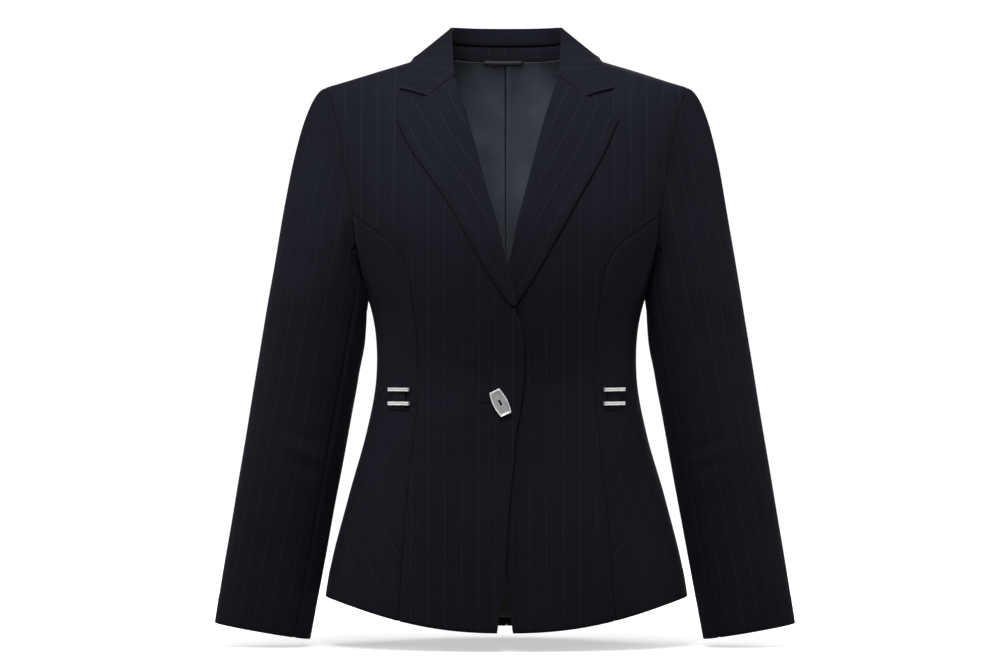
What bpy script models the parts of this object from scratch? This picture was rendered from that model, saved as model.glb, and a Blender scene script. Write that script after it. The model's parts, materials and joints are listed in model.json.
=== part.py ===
"""A woman's single-breasted blazer with notched lapels, filled out and held at the neck.

Metres, +Z up, the fronts facing -Y and the wearer's right side at -X. The origin is in the neck opening,
halfway between front and back, close under the side neck points. Each piece is worked out on its own side
with x measured outwards from the centre front, and is then placed at -x or +x.
"""

import math

import bmesh
import bpy
import numpy as np
from mathutils import Vector

# Cloth thicknesses and the gaps between pieces.
SUITING = 0.0018
COLLAR_CLOTH = 0.0015
SATIN = 0.0008
SEAM_GAP = 0.0003
LAYER_GAP = 0.0009

RIGHT = -1
LEFT = 1
FRONT = -1
BACK = 1

# The body of the coat, as level sections.
# height, half width, front depth, back depth, squareness
TORSO_SECTIONS = (
    (-0.635, 0.2045, 0.126, 0.134, 2.30),
    (-0.560, 0.1945, 0.121, 0.131, 2.30),
    (-0.480, 0.1745, 0.111, 0.121, 2.30),
    (-0.410, 0.1545, 0.103, 0.105, 2.30),
    (-0.345, 0.1430, 0.100, 0.096, 2.35),
    (-0.284, 0.1463, 0.112, 0.100, 2.40),
    (-0.240, 0.1585, 0.121, 0.107, 2.50),
    (-0.190, 0.1750, 0.124, 0.113, 2.60),
    (-0.120, 0.1900, 0.121, 0.115, 2.60),
    (-0.050, 0.2040, 0.117, 0.113, 2.60),
    (0.020, 0.2150, 0.114, 0.110, 2.60),
)
SHOULDER_ROUND_FROM = -0.200  # above this the chest and back round over to the shoulder seam
SHOULDER_ROUND_IN = 2.0
# distance, front, back: how the rounding over changes from the neck to the shoulder point
SHOULDER_ROUNDING = (
    (0.000, 0.660, 0.263),
    (0.040, 0.640, 0.272),
    (0.066, 0.600, 0.355),
    (0.090, 0.555, 0.430),
    (0.130, 0.490, 0.440),
    (0.1985, 0.440, 0.440),
)

# Neck and shoulder.
NECK_HALF = 0.072
NECK_SIDE_HEIGHT = 0.0103
NECK_BACK_HEIGHT = 0.0050
NECK_SQUARENESS = 2.4
SHOULDER_HALF = 0.1985
SHOULDER_SLOPE = 0.306

# The hem drops from the side towards the centre front and the centre back.
HEM_SIDE_HEIGHT = -0.583
HEM_FRONT_DROP = 0.037
HEM_BACK_DROP = 0.045

# Front edge below the roll, as a distance past or short of the centre on its own side.
# height, right front, left front
FRONT_EDGES = (
    (-0.620, 0.0103, 0.0070),
    (-0.582, 0.0070, 0.0035),
    (-0.545, 0.0017, -0.0012),
    (-0.490, -0.0020, -0.0035),
    (-0.456, -0.0055, -0.0070),
    (-0.410, -0.0091, -0.0100),
    (-0.384, -0.0137, -0.0140),
    (-0.345, -0.0180, -0.0175),
    (-0.318, -0.0182, -0.0175),
    (-0.295, -0.0165, -0.0160),
    (-0.263, -0.0101, -0.0085),
    (-0.214, 0.0015, 0.0045),
    (-0.179, 0.0100, 0.0115),
    (-0.144, 0.0205, 0.0205),
    (-0.090, 0.0353, 0.0345),
    (-0.028, 0.0530, 0.0530),
    (-0.021, 0.0555, 0.0555),
)
BREAK_HEIGHT = {RIGHT: -0.272, LEFT: -0.296}
NECK_EDGE = ((-0.021, 0.0590), (0.0103, 0.0720))  # height, distance: the fronts' edge under the collar

# Outer edge of each lapel, from its tip to its break.
# height, distance
LAPEL_EDGES = {
    RIGHT: (
        (-0.2700, -0.0075),
        (-0.2649, -0.0030),
        (-0.2305, 0.0210),
        (-0.1983, 0.0393),
        (-0.1659, 0.0576),
        (-0.1334, 0.0792),
        (-0.1026, 0.1010),
        (-0.0693, 0.1178),
    ),
    LEFT: (
        (-0.2940, -0.0115),
        (-0.2627, 0.0134),
        (-0.2359, 0.0305),
        (-0.1983, 0.0520),
        (-0.1497, 0.0790),
        (-0.1059, 0.1036),
        (-0.0670, 0.1209),
    ),
}
# distance, height: the lapel meets the collar from the roll out to the notch
GORGE_HEIGHT = -0.0210
NOTCH = (0.0854, -0.0414)
COLLAR_POINT = (0.1156, -0.0333)

# Princess seam of the front and side back seam, from hem to armhole.
# height, distance
PRINCESS_SEAM = (
    (-0.620, 0.1170),
    (-0.586, 0.1150),
    (-0.457, 0.1053),
    (-0.421, 0.1011),
    (-0.367, 0.0958),
    (-0.316, 0.0957),
    (-0.265, 0.1008),
    (-0.230, 0.1073),
    (-0.205, 0.1215),
    (-0.1695, 0.1670),
)
SIDE_BACK_SEAM = (
    (-0.628, 0.1140),
    (-0.560, 0.1090),
    (-0.460, 0.0960),
    (-0.360, 0.0810),
    (-0.280, 0.0860),
    (-0.220, 0.1050),
    (-0.175, 0.1350),
    (-0.130, 0.1740),
)
# height, distance: the armhole above the two seams, seen from the front
ARMHOLE_EDGE = (
    (-0.1695, 0.1670),
    (-0.1300, 0.1740),
    (-0.0650, 0.1865),
    (-0.0285, 0.1985),
)
UNDERARM_HEIGHT = -0.246

# The right front laps over the left one.
LAP_LIFT = {RIGHT: 0.0032, LEFT: -0.0028}
LAP_REACH = 0.050
LAP_FADE = (-0.205, -0.120)

# Sleeve, along its axis from the underarm level to the cuff.
ARM_TOP = (0.2038, 0.0, -0.250)
ARM_LEAN = (0.1696, 0.0, -0.9855)
# distance, half width, half depth, forward shift
SLEEVE_SECTIONS = (
    (0.000, 0.0555, 0.0560, 0.000),
    (0.080, 0.0550, 0.0530, 0.000),
    (0.160, 0.0541, 0.0490, 0.002),
    (0.240, 0.0535, 0.0430, 0.008),
    (0.320, 0.0527, 0.0350, 0.019),
    (0.3785, 0.0517, 0.0290, 0.028),
)
FRONT_ARM_SEAM_DEG = 134
BACK_ARM_SEAM_DEG = 232
BODY_CLEARANCE = 0.0012
ARMHOLE_GAP = 0.00045
UNDERARM_SWING_DEG = 172  # the sleeve leaves the shoulder outwards and turns under to leave the underarm
CAP_LEAVING = (0.080, 0.012)  # how strongly it leaves the armhole, at the shoulder and at the underarm
CAP_ARRIVING = 1.25

# Cloth turned back over the fronts: the lapels, and the collar's front ends.
FOLD_LIFT = LAYER_GAP + COLLAR_CLOTH  # outer face of the turned-back cloth above the front's outer face
EDGE_STAND = 0.020  # it stands off by this share of its width
ROLL_RADIUS = SUITING / 2 + FOLD_LIFT
ROLL_DEG = (-12, 28, 62)
ROLL_STEP = 0.010
ROLL_START = 0.030  # below the break the edge draws in over this height to go under the roll
LAPEL_ABOVE_BREAK = 0.004
LAPEL_LEAST = 0.004
FALL_POINTS = 7

# Collar: the fold line, the seam with the neck and the outer edge run from the centre back (0), over the
# shoulder seam (0.6), to the front ends (1).
COLLAR_SHOULDER = 0.6
# width at the shoulder, depth at the back, height back, height side, front end (x, y, z), squareness
FOLD_LINE = (0.0605, 0.0670, 0.0420, 0.0380, (0.0555, -0.0500, -0.0210), 2.6)
NECK_LINE = (0.0700, 0.0662, 0.0062, 0.0122, (0.0560, -0.0440, -0.0180), 2.4)
OUTER_LINE = (0.1065, 0.0825, 0.0, 0.0, (0.1156, -0.0400, 0.0), 1.6)
STAND_SHARE = 0.53
STAND_GAP = 0.0006
FOLD_HALF = 0.0020
FOLD_DROP = 0.0045

# Back lining, with a centre pleat that lies to the wearer's left, and the hanging loop under the stand.
LINING_GAP = 0.0012
PLEAT_DEEP = 0.0026
PLEAT_SPAN = (-0.0010, 0.0160)
PLEAT_EDGE = 0.0020
PLEAT_FADE = (-0.42, -0.34)
LOOP_ENDS = (-0.0260, 0.0185)
LOOP_HIGH = 0.0045
LOOP_HEIGHT = 0.0030
LOOP_DEPTH = 0.0612
LOOP_BOW = 0.0012
LOOP_SAG = 0.0006
LOOP_POINTS = 7

# Rows and columns of each wall.
BODY_ROWS = 14
UPPER_ROWS = 8
FRONT_COLUMNS = 9
SIDE_COLUMNS = 7
BACK_COLUMNS = (4, 5)  # across the neck, across the shoulder
CAP_STEPS = (0.0, 0.07, 0.17, 0.31, 0.50, 0.74, 1.0)
ARM_ROWS = 8
LAPEL_ROWS = 10
COLLAR_ROWS = 12  # from the centre back to a front end
STAND_ROWS = 8  # of those rows
TAB_GRID = (5, 4)

# Hardware.
BUTTON_CENTRE = (-0.0067, -0.3737)
BUTTON_LENGTH = 0.0290
BUTTON_END = 0.0118
BUTTON_MIDDLE = 0.0162
BUTTON_THICK = 0.0042
BUTTON_TILT_DEG = 26.5
BUTTON_SLOT = (0.0073, 0.0024)
BUTTON_LIFT = 0.0012
BUTTON_ROUND = 0.0008
BUTTON_SIDE_POINTS = 9
CUTTER_REACH = 0.002  # past each face of the button
BAR_SPAN = (0.1055, 0.1300)
BAR_HEIGHTS = {"upper": -0.3595, "lower": -0.3747}
BAR_HIGH = 0.0044
BAR_THICK = 0.0024
BAR_ROUND = 0.0006
TAB_SPAN = (0.1115, 0.1245)
TAB_HEIGHTS = (-0.3815, -0.3530)
TAB_THICK = 0.0012
TAB_GAP = 0.00045
BAR_LIFT = TAB_THICK + 0.0009  # a bar's back face above the side panel

# colour, roughness, metallic
FINISHES = {
    "suiting": ((0.0130, 0.0137, 0.0180, 1.0), 0.85, 0.0),
    "collar_suiting": ((0.0185, 0.0190, 0.0260, 1.0), 0.85, 0.0),
    "satin": ((0.0500, 0.0570, 0.0750, 1.0), 0.45, 0.0),
    "brushed_metal": ((0.3400, 0.3400, 0.3500, 1.0), 0.35, 1.0),
}


def clamp(value, low=0.0, high=1.0):
    return min(max(value, low), high)


def ease(value):
    value = clamp(value)
    return value * value * (3 - 2 * value)


def mix(start, end, share):
    return start + (end - start) * share


def unit(vector):
    return vector / max(np.linalg.norm(vector), 1e-12)


def smooth(rows, column=1):
    """A smooth function of the first column of rows, through the values in another column."""
    stations = np.array([row[0] for row in rows])
    values = np.array([row[column] for row in rows])
    slopes = np.gradient(values, stations)

    def at(station):
        station = clamp(station, stations[0], stations[-1])
        i = min(int(np.searchsorted(stations, station, side="right")) - 1, len(stations) - 2)
        span = stations[i + 1] - stations[i]
        t = (station - stations[i]) / span
        start = values[i] * (1 + 2 * t) * (1 - t) ** 2 + slopes[i] * span * t * (1 - t) ** 2
        end = values[i + 1] * t * t * (3 - 2 * t) + slopes[i + 1] * span * t * t * (t - 1)
        return float(start + end)

    return at


half_width = smooth(TORSO_SECTIONS, 1)
front_depth = smooth(TORSO_SECTIONS, 2)
back_depth = smooth(TORSO_SECTIONS, 3)
squareness = smooth(TORSO_SECTIONS, 4)
shoulder_rounding = {FRONT: smooth(SHOULDER_ROUNDING, 1), BACK: smooth(SHOULDER_ROUNDING, 2)}
front_edge = {RIGHT: smooth(FRONT_EDGES, 1), LEFT: smooth(FRONT_EDGES, 2)}
lapel_edge = {side: smooth(LAPEL_EDGES[side]) for side in (RIGHT, LEFT)}
princess_seam = smooth(PRINCESS_SEAM)
side_back_seam = smooth(SIDE_BACK_SEAM)
armhole_edge = smooth(ARMHOLE_EDGE)


# ---------------------------------------------------------------- the body surface


def shoulder_height(x):
    """Height of the shoulder line, carried on over the neck as a smooth crown."""
    place = abs(x) if abs(x) > NECK_HALF else (x * x + NECK_HALF**2) / (2 * NECK_HALF)
    return NECK_SIDE_HEIGHT + (NECK_HALF - place) * SHOULDER_SLOPE


def panel_top(x, facing):
    """Height of a panel's upper edge: the shoulder seam, or the back neck."""
    share = abs(x) / NECK_HALF
    if facing == FRONT or share >= 1:
        return shoulder_height(x)
    dip = (1 - share**NECK_SQUARENESS) ** (1 / NECK_SQUARENESS)
    return mix(NECK_SIDE_HEIGHT, NECK_BACK_HEIGHT, dip)


def depth_at(x, z, facing):
    """How far in front of or behind y = 0 the cloth's outer face is."""
    full = front_depth(z) if facing == FRONT else back_depth(z)
    n = squareness(z)
    share = clamp(abs(x) / half_width(z))
    full *= (1 - share**n) ** (1 / n)
    if z <= SHOULDER_ROUND_FROM:
        return full
    rise = clamp((z - SHOULDER_ROUND_FROM) / (shoulder_height(x) - SHOULDER_ROUND_FROM))
    return full * (1 - rise**SHOULDER_ROUND_IN) ** shoulder_rounding[facing](abs(x))


def normal_at(x, z, facing):
    """The outward direction of the body surface."""
    if z <= SHOULDER_ROUND_FROM:
        n, wide = squareness(z), half_width(z)
        depth_of = front_depth if facing == FRONT else back_depth
        deep, step = depth_of(z), 0.002
        across = clamp(abs(x) / wide)
        along = (1 - across**n) ** (1 / n)
        widening = (half_width(z + step) - half_width(z - step)) / (2 * step)
        deepening = (depth_of(z + step) - depth_of(z - step)) / (2 * step)
        return unit(
            np.array(
                (
                    math.copysign(across ** (n - 1) / wide, x),
                    facing * along ** (n - 1) / deep,
                    -(across**n) * widening / wide - along**n * deepening / deep,
                )
            )
        )
    top_height = shoulder_height(x)
    if top_height - z < 1e-5:
        return unit(np.array((math.copysign(SHOULDER_SLOPE, x), 0.0, 1.0)))
    step = 0.0004
    low, high = z - step, min(z + step, top_height)
    by_x = (depth_at(x + step, z, facing) - depth_at(x - step, z, facing)) / (2 * step)
    by_z = (depth_at(x, high, facing) - depth_at(x, low, facing)) / (high - low)
    return unit(np.array((-by_x, facing, -by_z)))


def surface_point(x, z, facing, lift=0.0):
    point = np.array((x, facing * depth_at(x, z, facing), z))
    return point + lift * normal_at(x, z, facing)


def surface_height(x, y):
    """Height of the shoulder's upper surface over a point of the plan."""
    facing = FRONT if y < 0 else BACK
    low, high = SHOULDER_ROUND_FROM, shoulder_height(x)
    for _ in range(40):
        middle = (low + high) / 2
        if depth_at(x, middle, facing) > abs(y):
            low = middle
        else:
            high = middle
    return (low + high) / 2


def section_angle(x, z):
    """Angle of a point round its level section, 0 at the side and a right angle at the centre."""
    return math.acos(clamp(abs(x) / half_width(z)) ** (squareness(z) / 2))


def section_x(angle, z):
    return half_width(z) * abs(math.cos(angle)) ** (2 / squareness(z))


def hem_height(angle, facing):
    drop = HEM_FRONT_DROP if facing == FRONT else HEM_BACK_DROP
    return HEM_SIDE_HEIGHT - drop * math.sin(angle) ** 2


def hem_at(x, facing):
    height = HEM_SIDE_HEIGHT
    for _ in range(6):
        height = hem_height(section_angle(x, height), facing)
    return height


def lap(side, x, z):
    """How far a front stands out from the body surface where the two fronts cross."""
    near = math.exp(-((x / LAP_REACH) ** 2))
    return LAP_LIFT[side] * near * (1 - ease((z - LAP_FADE[0]) / (LAP_FADE[1] - LAP_FADE[0])))


# ---------------------------------------------------------------- walls


def grid_normals(grid):
    """Unit normals of a grid of points, from its rows and columns."""
    along = np.gradient(grid, axis=0)
    across = np.gradient(grid, axis=1)
    normals = np.cross(across, along)
    return normals / np.maximum(np.linalg.norm(normals, axis=2, keepdims=True), 1e-12)


def pull_edges(grid, edges, distance):
    """Moves the named edges of a grid inwards, towards their neighbouring row or column."""
    grid = grid.copy()
    picks = {"bottom": (0, 1, 0), "top": (-1, -2, 0), "start": (0, 1, 1), "end": (-1, -2, 1)}
    for edge in edges:
        first, second, axis = picks[edge]
        rows = grid if axis == 0 else grid.transpose(1, 0, 2)
        step = rows[second] - rows[first]
        rows[first] += distance * step / np.linalg.norm(step, axis=1, keepdims=True)
    return grid


def wall(name, finish, outer, inner, side=LEFT, seams=()):
    """A closed cloth wall between two grids of points, mirrored to its side and open to its neighbours."""
    mesh_grids = [pull_edges(grid, seams, SEAM_GAP / 2) * (side, 1, 1) for grid in (outer, inner)]
    rows, columns = outer.shape[:2]
    bm = bmesh.new()
    layers = [[[bm.verts.new(point) for point in row] for row in grid] for grid in mesh_grids]
    for i in range(rows - 1):
        for j in range(columns - 1):
            near, far = [
                (layer[i][j], layer[i][j + 1], layer[i + 1][j + 1], layer[i + 1][j]) for layer in layers
            ]
            bm.faces.new(near)
            bm.faces.new(far[::-1])
    rim = [(0, j) for j in range(columns)]
    rim += [(i, columns - 1) for i in range(1, rows)]
    rim += [(rows - 1, j) for j in range(columns - 2, -1, -1)]
    rim += [(i, 0) for i in range(rows - 2, 0, -1)]
    for (i, j), (k, m) in zip(rim, rim[1:] + rim[:1]):
        bm.faces.new((layers[0][k][m], layers[0][i][j], layers[1][i][j], layers[1][k][m]))
    return finished(name, finish, bm)


def finished(name, finish, bm):
    """Turns a bmesh into a named object with its material, faces outwards."""
    if bm.calc_volume(signed=True) < 0:
        bmesh.ops.reverse_faces(bm, faces=bm.faces)
    mesh = bpy.data.meshes.new(name)
    bm.to_mesh(mesh)
    bm.free()
    mesh.shade_smooth()
    mesh.set_sharp_from_angle(angle=math.radians(40))
    mesh.materials.append(material(finish))
    obj = bpy.data.objects.new(name, mesh)
    bpy.context.scene.collection.objects.link(obj)
    return obj


def material(finish):
    found = bpy.data.materials.get(finish)
    if found:
        return found
    colour, roughness, metallic = FINISHES[finish]
    made = bpy.data.materials.new(finish)
    made.use_nodes = True
    shader = made.node_tree.nodes["Principled BSDF"]
    shader.inputs["Base Color"].default_value = colour
    shader.inputs["Roughness"].default_value = roughness
    shader.inputs["Metallic"].default_value = metallic
    return made


# ---------------------------------------------------------------- fronts, sides and backs


def row_shares(hem, seam_end, top):
    """Shares of the height of a panel's outer edge: even up to the seam's end, closer near the top."""
    reach = (seam_end - hem) / (top - hem)
    lower = [reach * k / BODY_ROWS for k in range(BODY_ROWS)]
    upper = [mix(reach, 1, math.sin(math.pi / 2 * k / UPPER_ROWS)) for k in range(UPPER_ROWS + 1)]
    return lower + upper


def front_inner_edge(side, z):
    """The fronts' edge: free below the break, under the roll above it and under the collar at the neck."""
    if z >= NECK_EDGE[0][0]:
        share = (z - NECK_EDGE[0][0]) / (NECK_EDGE[1][0] - NECK_EDGE[0][0])
        return mix(NECK_EDGE[0][1], NECK_EDGE[1][1], clamp(share))
    under_roll = ease((z - BREAK_HEIGHT[side] + ROLL_START) / ROLL_START) * ROLL_RADIUS
    return front_edge[side](z) + under_roll


def panel(facing, columns, inner_edge, outer_edge, hem_outer, seam_end, shift):
    """Outer and inner grids of a front or back, hem to shoulder, from its inner to its outer edge."""
    hem_x = [mix(inner_edge(HEM_SIDE_HEIGHT - HEM_FRONT_DROP), outer_edge(hem_outer), u) for u in columns]
    hems = [hem_at(x, facing) for x in hem_x]
    hems[-1] = hem_outer
    tops = [panel_top(mix(inner_edge(1.0), SHOULDER_HALF, u), facing) for u in columns]
    grid, inner = [], []
    for share in row_shares(hem_outer, seam_end, tops[-1]):
        inner_x = inner_edge(mix(hems[0], tops[0], share))
        outer_x = outer_edge(mix(hems[-1], tops[-1], share))
        row = []
        for u, hem, top in zip(columns, hems, tops):
            x, z = mix(inner_x, outer_x, u), mix(hem, top, share)
            normal = normal_at(x, z, facing)
            row.append((surface_point(x, z, facing) + shift(x, z) * normal, normal))
        grid.append([point for point, _ in row])
        inner.append([point - SUITING * normal for point, normal in row])
    return np.array(grid), np.array(inner)


def front_outer_edge(z):
    return princess_seam(z) if z <= PRINCESS_SEAM[-1][0] else armhole_edge(z)


def back_outer_edge(z):
    return side_back_seam(z) if z <= SIDE_BACK_SEAM[-1][0] else armhole_edge(z)


def seam_hem(seam, facing):
    """Height at which a seam meets the hem."""
    height = HEM_SIDE_HEIGHT
    for _ in range(8):
        height = hem_at(seam(height), facing)
    return height


FRONT_SEAM_HEM = seam_hem(princess_seam, FRONT)
BACK_SEAM_HEM = seam_hem(side_back_seam, BACK)


def front_grids(side):
    columns = [k / FRONT_COLUMNS for k in range(FRONT_COLUMNS + 1)]
    return panel(
        FRONT,
        columns,
        lambda z: front_inner_edge(side, z),
        front_outer_edge,
        FRONT_SEAM_HEM,
        PRINCESS_SEAM[-1][0],
        lambda x, z: lap(side, x, z),
    )


def back_columns():
    neck = NECK_HALF / SHOULDER_HALF
    inside, outside = BACK_COLUMNS
    shares = [neck * math.sin(math.pi / 2 * k / inside) for k in range(inside)]
    return shares + [mix(neck, 1, k / outside) for k in range(outside + 1)]


def back_grids():
    return panel(
        BACK,
        back_columns(),
        lambda z: 0.0,
        back_outer_edge,
        BACK_SEAM_HEM,
        SIDE_BACK_SEAM[-1][0],
        lambda x, z: 0.0,
    )


def side_grids():
    """The side panel, from the princess seam round the side to the side back seam."""
    front_top, back_top = PRINCESS_SEAM[-1][0], SIDE_BACK_SEAM[-1][0]
    front_end = section_angle(princess_seam(front_top), front_top)
    back_end = section_angle(side_back_seam(back_top), back_top)
    grid, inner = [], []
    for k in range(BODY_ROWS + 1):
        share = k / BODY_ROWS
        front_z = mix(FRONT_SEAM_HEM, front_top, share)
        back_z = mix(BACK_SEAM_HEM, back_top, share)
        row = []
        for j in range(SIDE_COLUMNS + 1):
            u = j / SIDE_COLUMNS
            first_angle = section_angle(princess_seam(front_z), front_z)
            last_angle = -section_angle(side_back_seam(back_z), back_z)
            angle = mix(first_angle, last_angle, u)
            top_angle = mix(front_end, -back_end, u)
            facing, end, top = (
                (FRONT, front_end, front_top) if top_angle > 0 else (BACK, back_end, back_top)
            )
            arm = mix(UNDERARM_HEIGHT, top, (abs(top_angle) / end) ** 2)
            facing = FRONT if angle > 0 else BACK
            hem_angle = mix(
                section_angle(princess_seam(FRONT_SEAM_HEM), FRONT_SEAM_HEM),
                -section_angle(side_back_seam(BACK_SEAM_HEM), BACK_SEAM_HEM),
                u,
            )
            hem = hem_height(abs(hem_angle), FRONT if hem_angle > 0 else BACK)
            z = mix(hem, arm, share)
            if j == 0:
                z, x = front_z, princess_seam(front_z)
            elif j == SIDE_COLUMNS:
                z, x = back_z, side_back_seam(back_z)
            else:
                x = section_x(angle, z)
            row.append((surface_point(x, z, facing), normal_at(x, z, facing)))
        grid.append([point for point, _ in row])
        inner.append([point - SUITING * normal for point, normal in row])
    return np.array(grid), np.array(inner)


# ---------------------------------------------------------------- sleeves


def armhole_loop(front, side, back):
    """Points and outward directions round the armhole: shoulder, front, underarm, back."""
    points, normals = [], []
    for outer, inner in (
        (front[0][:BODY_ROWS - 1:-1, -1], front[1][:BODY_ROWS - 1:-1, -1]),
        (side[0][-1, 1:-1], side[1][-1, 1:-1]),
        (back[0][BODY_ROWS:-1, -1], back[1][BODY_ROWS:-1, -1]),
    ):
        points.extend(outer)
        normals.extend((outer - inner) / SUITING)
    return np.array(points), np.array(normals)


def ring_point(distance, angle):
    """A point round the sleeve: 0 at its outer side, a right angle at its front."""
    centre = np.array(ARM_TOP) + distance * np.array(ARM_LEAN)
    outwards = np.array((-ARM_LEAN[2], 0.0, ARM_LEAN[0]))
    wide, deep, forward = (smooth(SLEEVE_SECTIONS, column)(distance) for column in (1, 2, 3))
    return (
        centre
        + math.cos(angle) * wide * outwards
        + np.array((0.0, -forward - math.sin(angle) * deep, 0.0))
    )


def clear_of_body(point, clearance):
    """Moves a point of the sleeve out of the side of the body."""
    x, y, z = point
    n = squareness(z)
    deep = (front_depth(z) if y < 0 else back_depth(z)) + clearance
    wide = half_width(z) + clearance
    share = clamp(abs(y) / deep)
    return np.array((max(x, wide * (1 - share**n) ** (1 / n)), y, z))


def loop_angles(points):
    """Angle round the sleeve for each point of the armhole, with the two seams at their own angles."""
    steps = np.linalg.norm(np.roll(points, -1, axis=0) - points, axis=1)
    run = np.concatenate([[0], np.cumsum(steps)])
    bottom = int(np.argmin(points[:, 2]))
    angles = np.where(
        np.arange(len(points)) <= bottom,
        180 * run[:-1] / run[bottom],
        180 + 180 * (run[:-1] - run[bottom]) / (run[-1] - run[bottom]),
    )
    front_seam = int(np.argmin(abs(angles - FRONT_ARM_SEAM_DEG)))
    back_seam = int(np.argmin(abs(angles - BACK_ARM_SEAM_DEG)))
    knots = (0, angles[front_seam], angles[back_seam], 360)
    places = (0, FRONT_ARM_SEAM_DEG, BACK_ARM_SEAM_DEG, 360)
    return np.radians(angles), np.radians(np.interp(angles, knots, places)), front_seam, back_seam


def sleeve_grids(front, side, back):
    """Outer and inner grids of a whole sleeve, armhole to cuff, and the columns of its two seams."""
    points, normals = armhole_loop(front, side, back)
    starts, angles, front_seam, back_seam = loop_angles(points)
    edges = np.roll(points, -1, axis=0) - np.roll(points, 1, axis=0)
    rows = [[] for _ in range(len(CAP_STEPS) + ARM_ROWS)]
    for point, normal, edge, start, angle in zip(points, normals, edges, starts, angles):
        away = unit(np.cross(normal, edge))
        turn = abs(math.pi - abs(math.pi - start)) / math.pi
        swing = math.radians(UNDERARM_SWING_DEG) * turn**3
        leave = away * math.cos(swing) + normal * math.sin(swing)
        offset = away * math.cos(swing / 2) + normal * math.sin(swing / 2)
        begin = point + ARMHOLE_GAP * offset
        end = ring_point(0, angle)
        length = np.linalg.norm(end - begin)
        leaving = leave * mix(*CAP_LEAVING, turn**1.5)
        arriving = np.array(ARM_LEAN) * CAP_ARRIVING * length
        for k, t in enumerate(CAP_STEPS):
            place = (
                begin * (1 + 2 * t) * (1 - t) ** 2
                + leaving * t * (1 - t) ** 2
                + end * t * t * (3 - 2 * t)
                + arriving * t * t * (t - 1)
            )
            if k:
                place = clear_of_body(place, BODY_CLEARANCE * min(k, 3) / 3)
            rows[k].append(place)
        for k in range(1, ARM_ROWS + 1):
            place = ring_point(SLEEVE_SECTIONS[-1][0] * k / ARM_ROWS, angle)
            rows[len(CAP_STEPS) + k - 1].append(clear_of_body(place, 2 * BODY_CLEARANCE))
    grid = np.array(rows)
    closed = np.concatenate([grid[:, -2:], grid, grid[:, :2]], axis=1)
    outward = grid_normals(closed)[:, 2:-2]
    return grid, grid - SUITING * outward, front_seam, back_seam


def sleeve_pieces(name, side, grids):
    outer, inner, front_seam, back_seam = grids
    count = outer.shape[1]
    for piece, columns in (
        ("top", [k % count for k in range(back_seam, count + front_seam + 1)]),
        ("under", list(range(front_seam, back_seam + 1))),
    ):
        wall(
            f"{piece}_sleeve_{name}",
            "suiting",
            outer[:, columns],
            inner[:, columns],
            side,
            ("start", "end"),
        )


# ---------------------------------------------------------------- lapels and collar


def roll_points(side, x, z):
    """Outer and inner points of the roll round a front's edge, up to where the cloth lies flat."""
    normal = normal_at(x, z, FRONT)
    base = surface_point(x, z, FRONT, lap(side, x, z) - SUITING / 2)
    above, below = z + ROLL_STEP, z - ROLL_STEP
    along = surface_point(front_edge[side](above), above, FRONT)
    along -= surface_point(front_edge[side](below), below, FRONT)
    beyond = unit(np.cross(normal, along))
    beyond *= -math.copysign(1, beyond[0])
    spokes = [math.cos(turn) * beyond + math.sin(turn) * normal for turn in np.radians(ROLL_DEG)]
    return (
        [base + ROLL_RADIUS * spoke for spoke in spokes],
        [base + (ROLL_RADIUS - COLLAR_CLOTH) * spoke for spoke in spokes],
    )


def turned_back_row(side, nodes):
    """Outer and inner points of cloth turned back over a front: its roll, then flat through the nodes."""
    outer, inner = roll_points(side, *nodes[0])
    for x, z in nodes:
        normal = normal_at(x, z, FRONT)
        stand_off = lap(side, x, z) + FOLD_LIFT + EDGE_STAND * (x - nodes[0][0])
        point = surface_point(x, z, FRONT, stand_off)
        outer.append(point)
        inner.append(point - COLLAR_CLOTH * normal)
    return outer, inner


def nodes_between(start, end, shares):
    return [(mix(start[0], end[0], t), mix(start[1], end[1], t)) for t in shares]


def gorge_nodes(tip):
    """Places from the roll along the gorge to the notch, and on to the tip of the lapel or the collar."""
    start = (front_edge[RIGHT](GORGE_HEIGHT) + ROLL_RADIUS, GORGE_HEIGHT)
    return nodes_between(start, NOTCH, (0, 1 / 3, 2 / 3, 1)) + nodes_between(NOTCH, tip, (1 / 3, 2 / 3, 1))


def lapel_grids(side):
    """The lapel: a roll round the front's edge, then flat to its outer edge. Rows run gorge to break."""
    last = BREAK_HEIGHT[side] + LAPEL_ABOVE_BREAK
    tip_z, tip_x = LAPEL_EDGES[side][-1]
    rows = [turned_back_row(side, gorge_nodes((tip_x, tip_z)))]
    for k in range(1, LAPEL_ROWS + 1):
        share = k / LAPEL_ROWS
        roll_z, edge_z = mix(GORGE_HEIGHT, last, share), mix(tip_z, last, share)
        roll_x = front_edge[side](roll_z) + ROLL_RADIUS
        edge_x = max(lapel_edge[side](edge_z), roll_x + LAPEL_LEAST)
        nodes = nodes_between((roll_x, roll_z), (edge_x, edge_z), np.linspace(0, 1, FALL_POINTS))
        rows.append(turned_back_row(side, nodes))
    return np.array([row[0] for row in rows]), np.array([row[1] for row in rows])


def neck_path(station, line):
    """A point of one of the collar's lines. The station's sign is the side, so x has that sign."""
    wide, deep, back_z, side_z, (end_x, end_y, end_z), n = line
    place = abs(station)
    if place <= COLLAR_SHOULDER:
        angle = math.pi / 2 * place / COLLAR_SHOULDER
        x = wide * math.sin(angle) ** (2 / n)
        y = deep * abs(math.cos(angle)) ** (2 / n)
        z = mix(back_z, side_z, ease(place / COLLAR_SHOULDER))
    else:
        t = (place - COLLAR_SHOULDER) / (1 - COLLAR_SHOULDER)
        x = mix(wide, end_x, t * t)
        y = end_y * t
        z = mix(side_z, end_z, t**1.25)
    return np.array((x, y, z))


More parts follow.
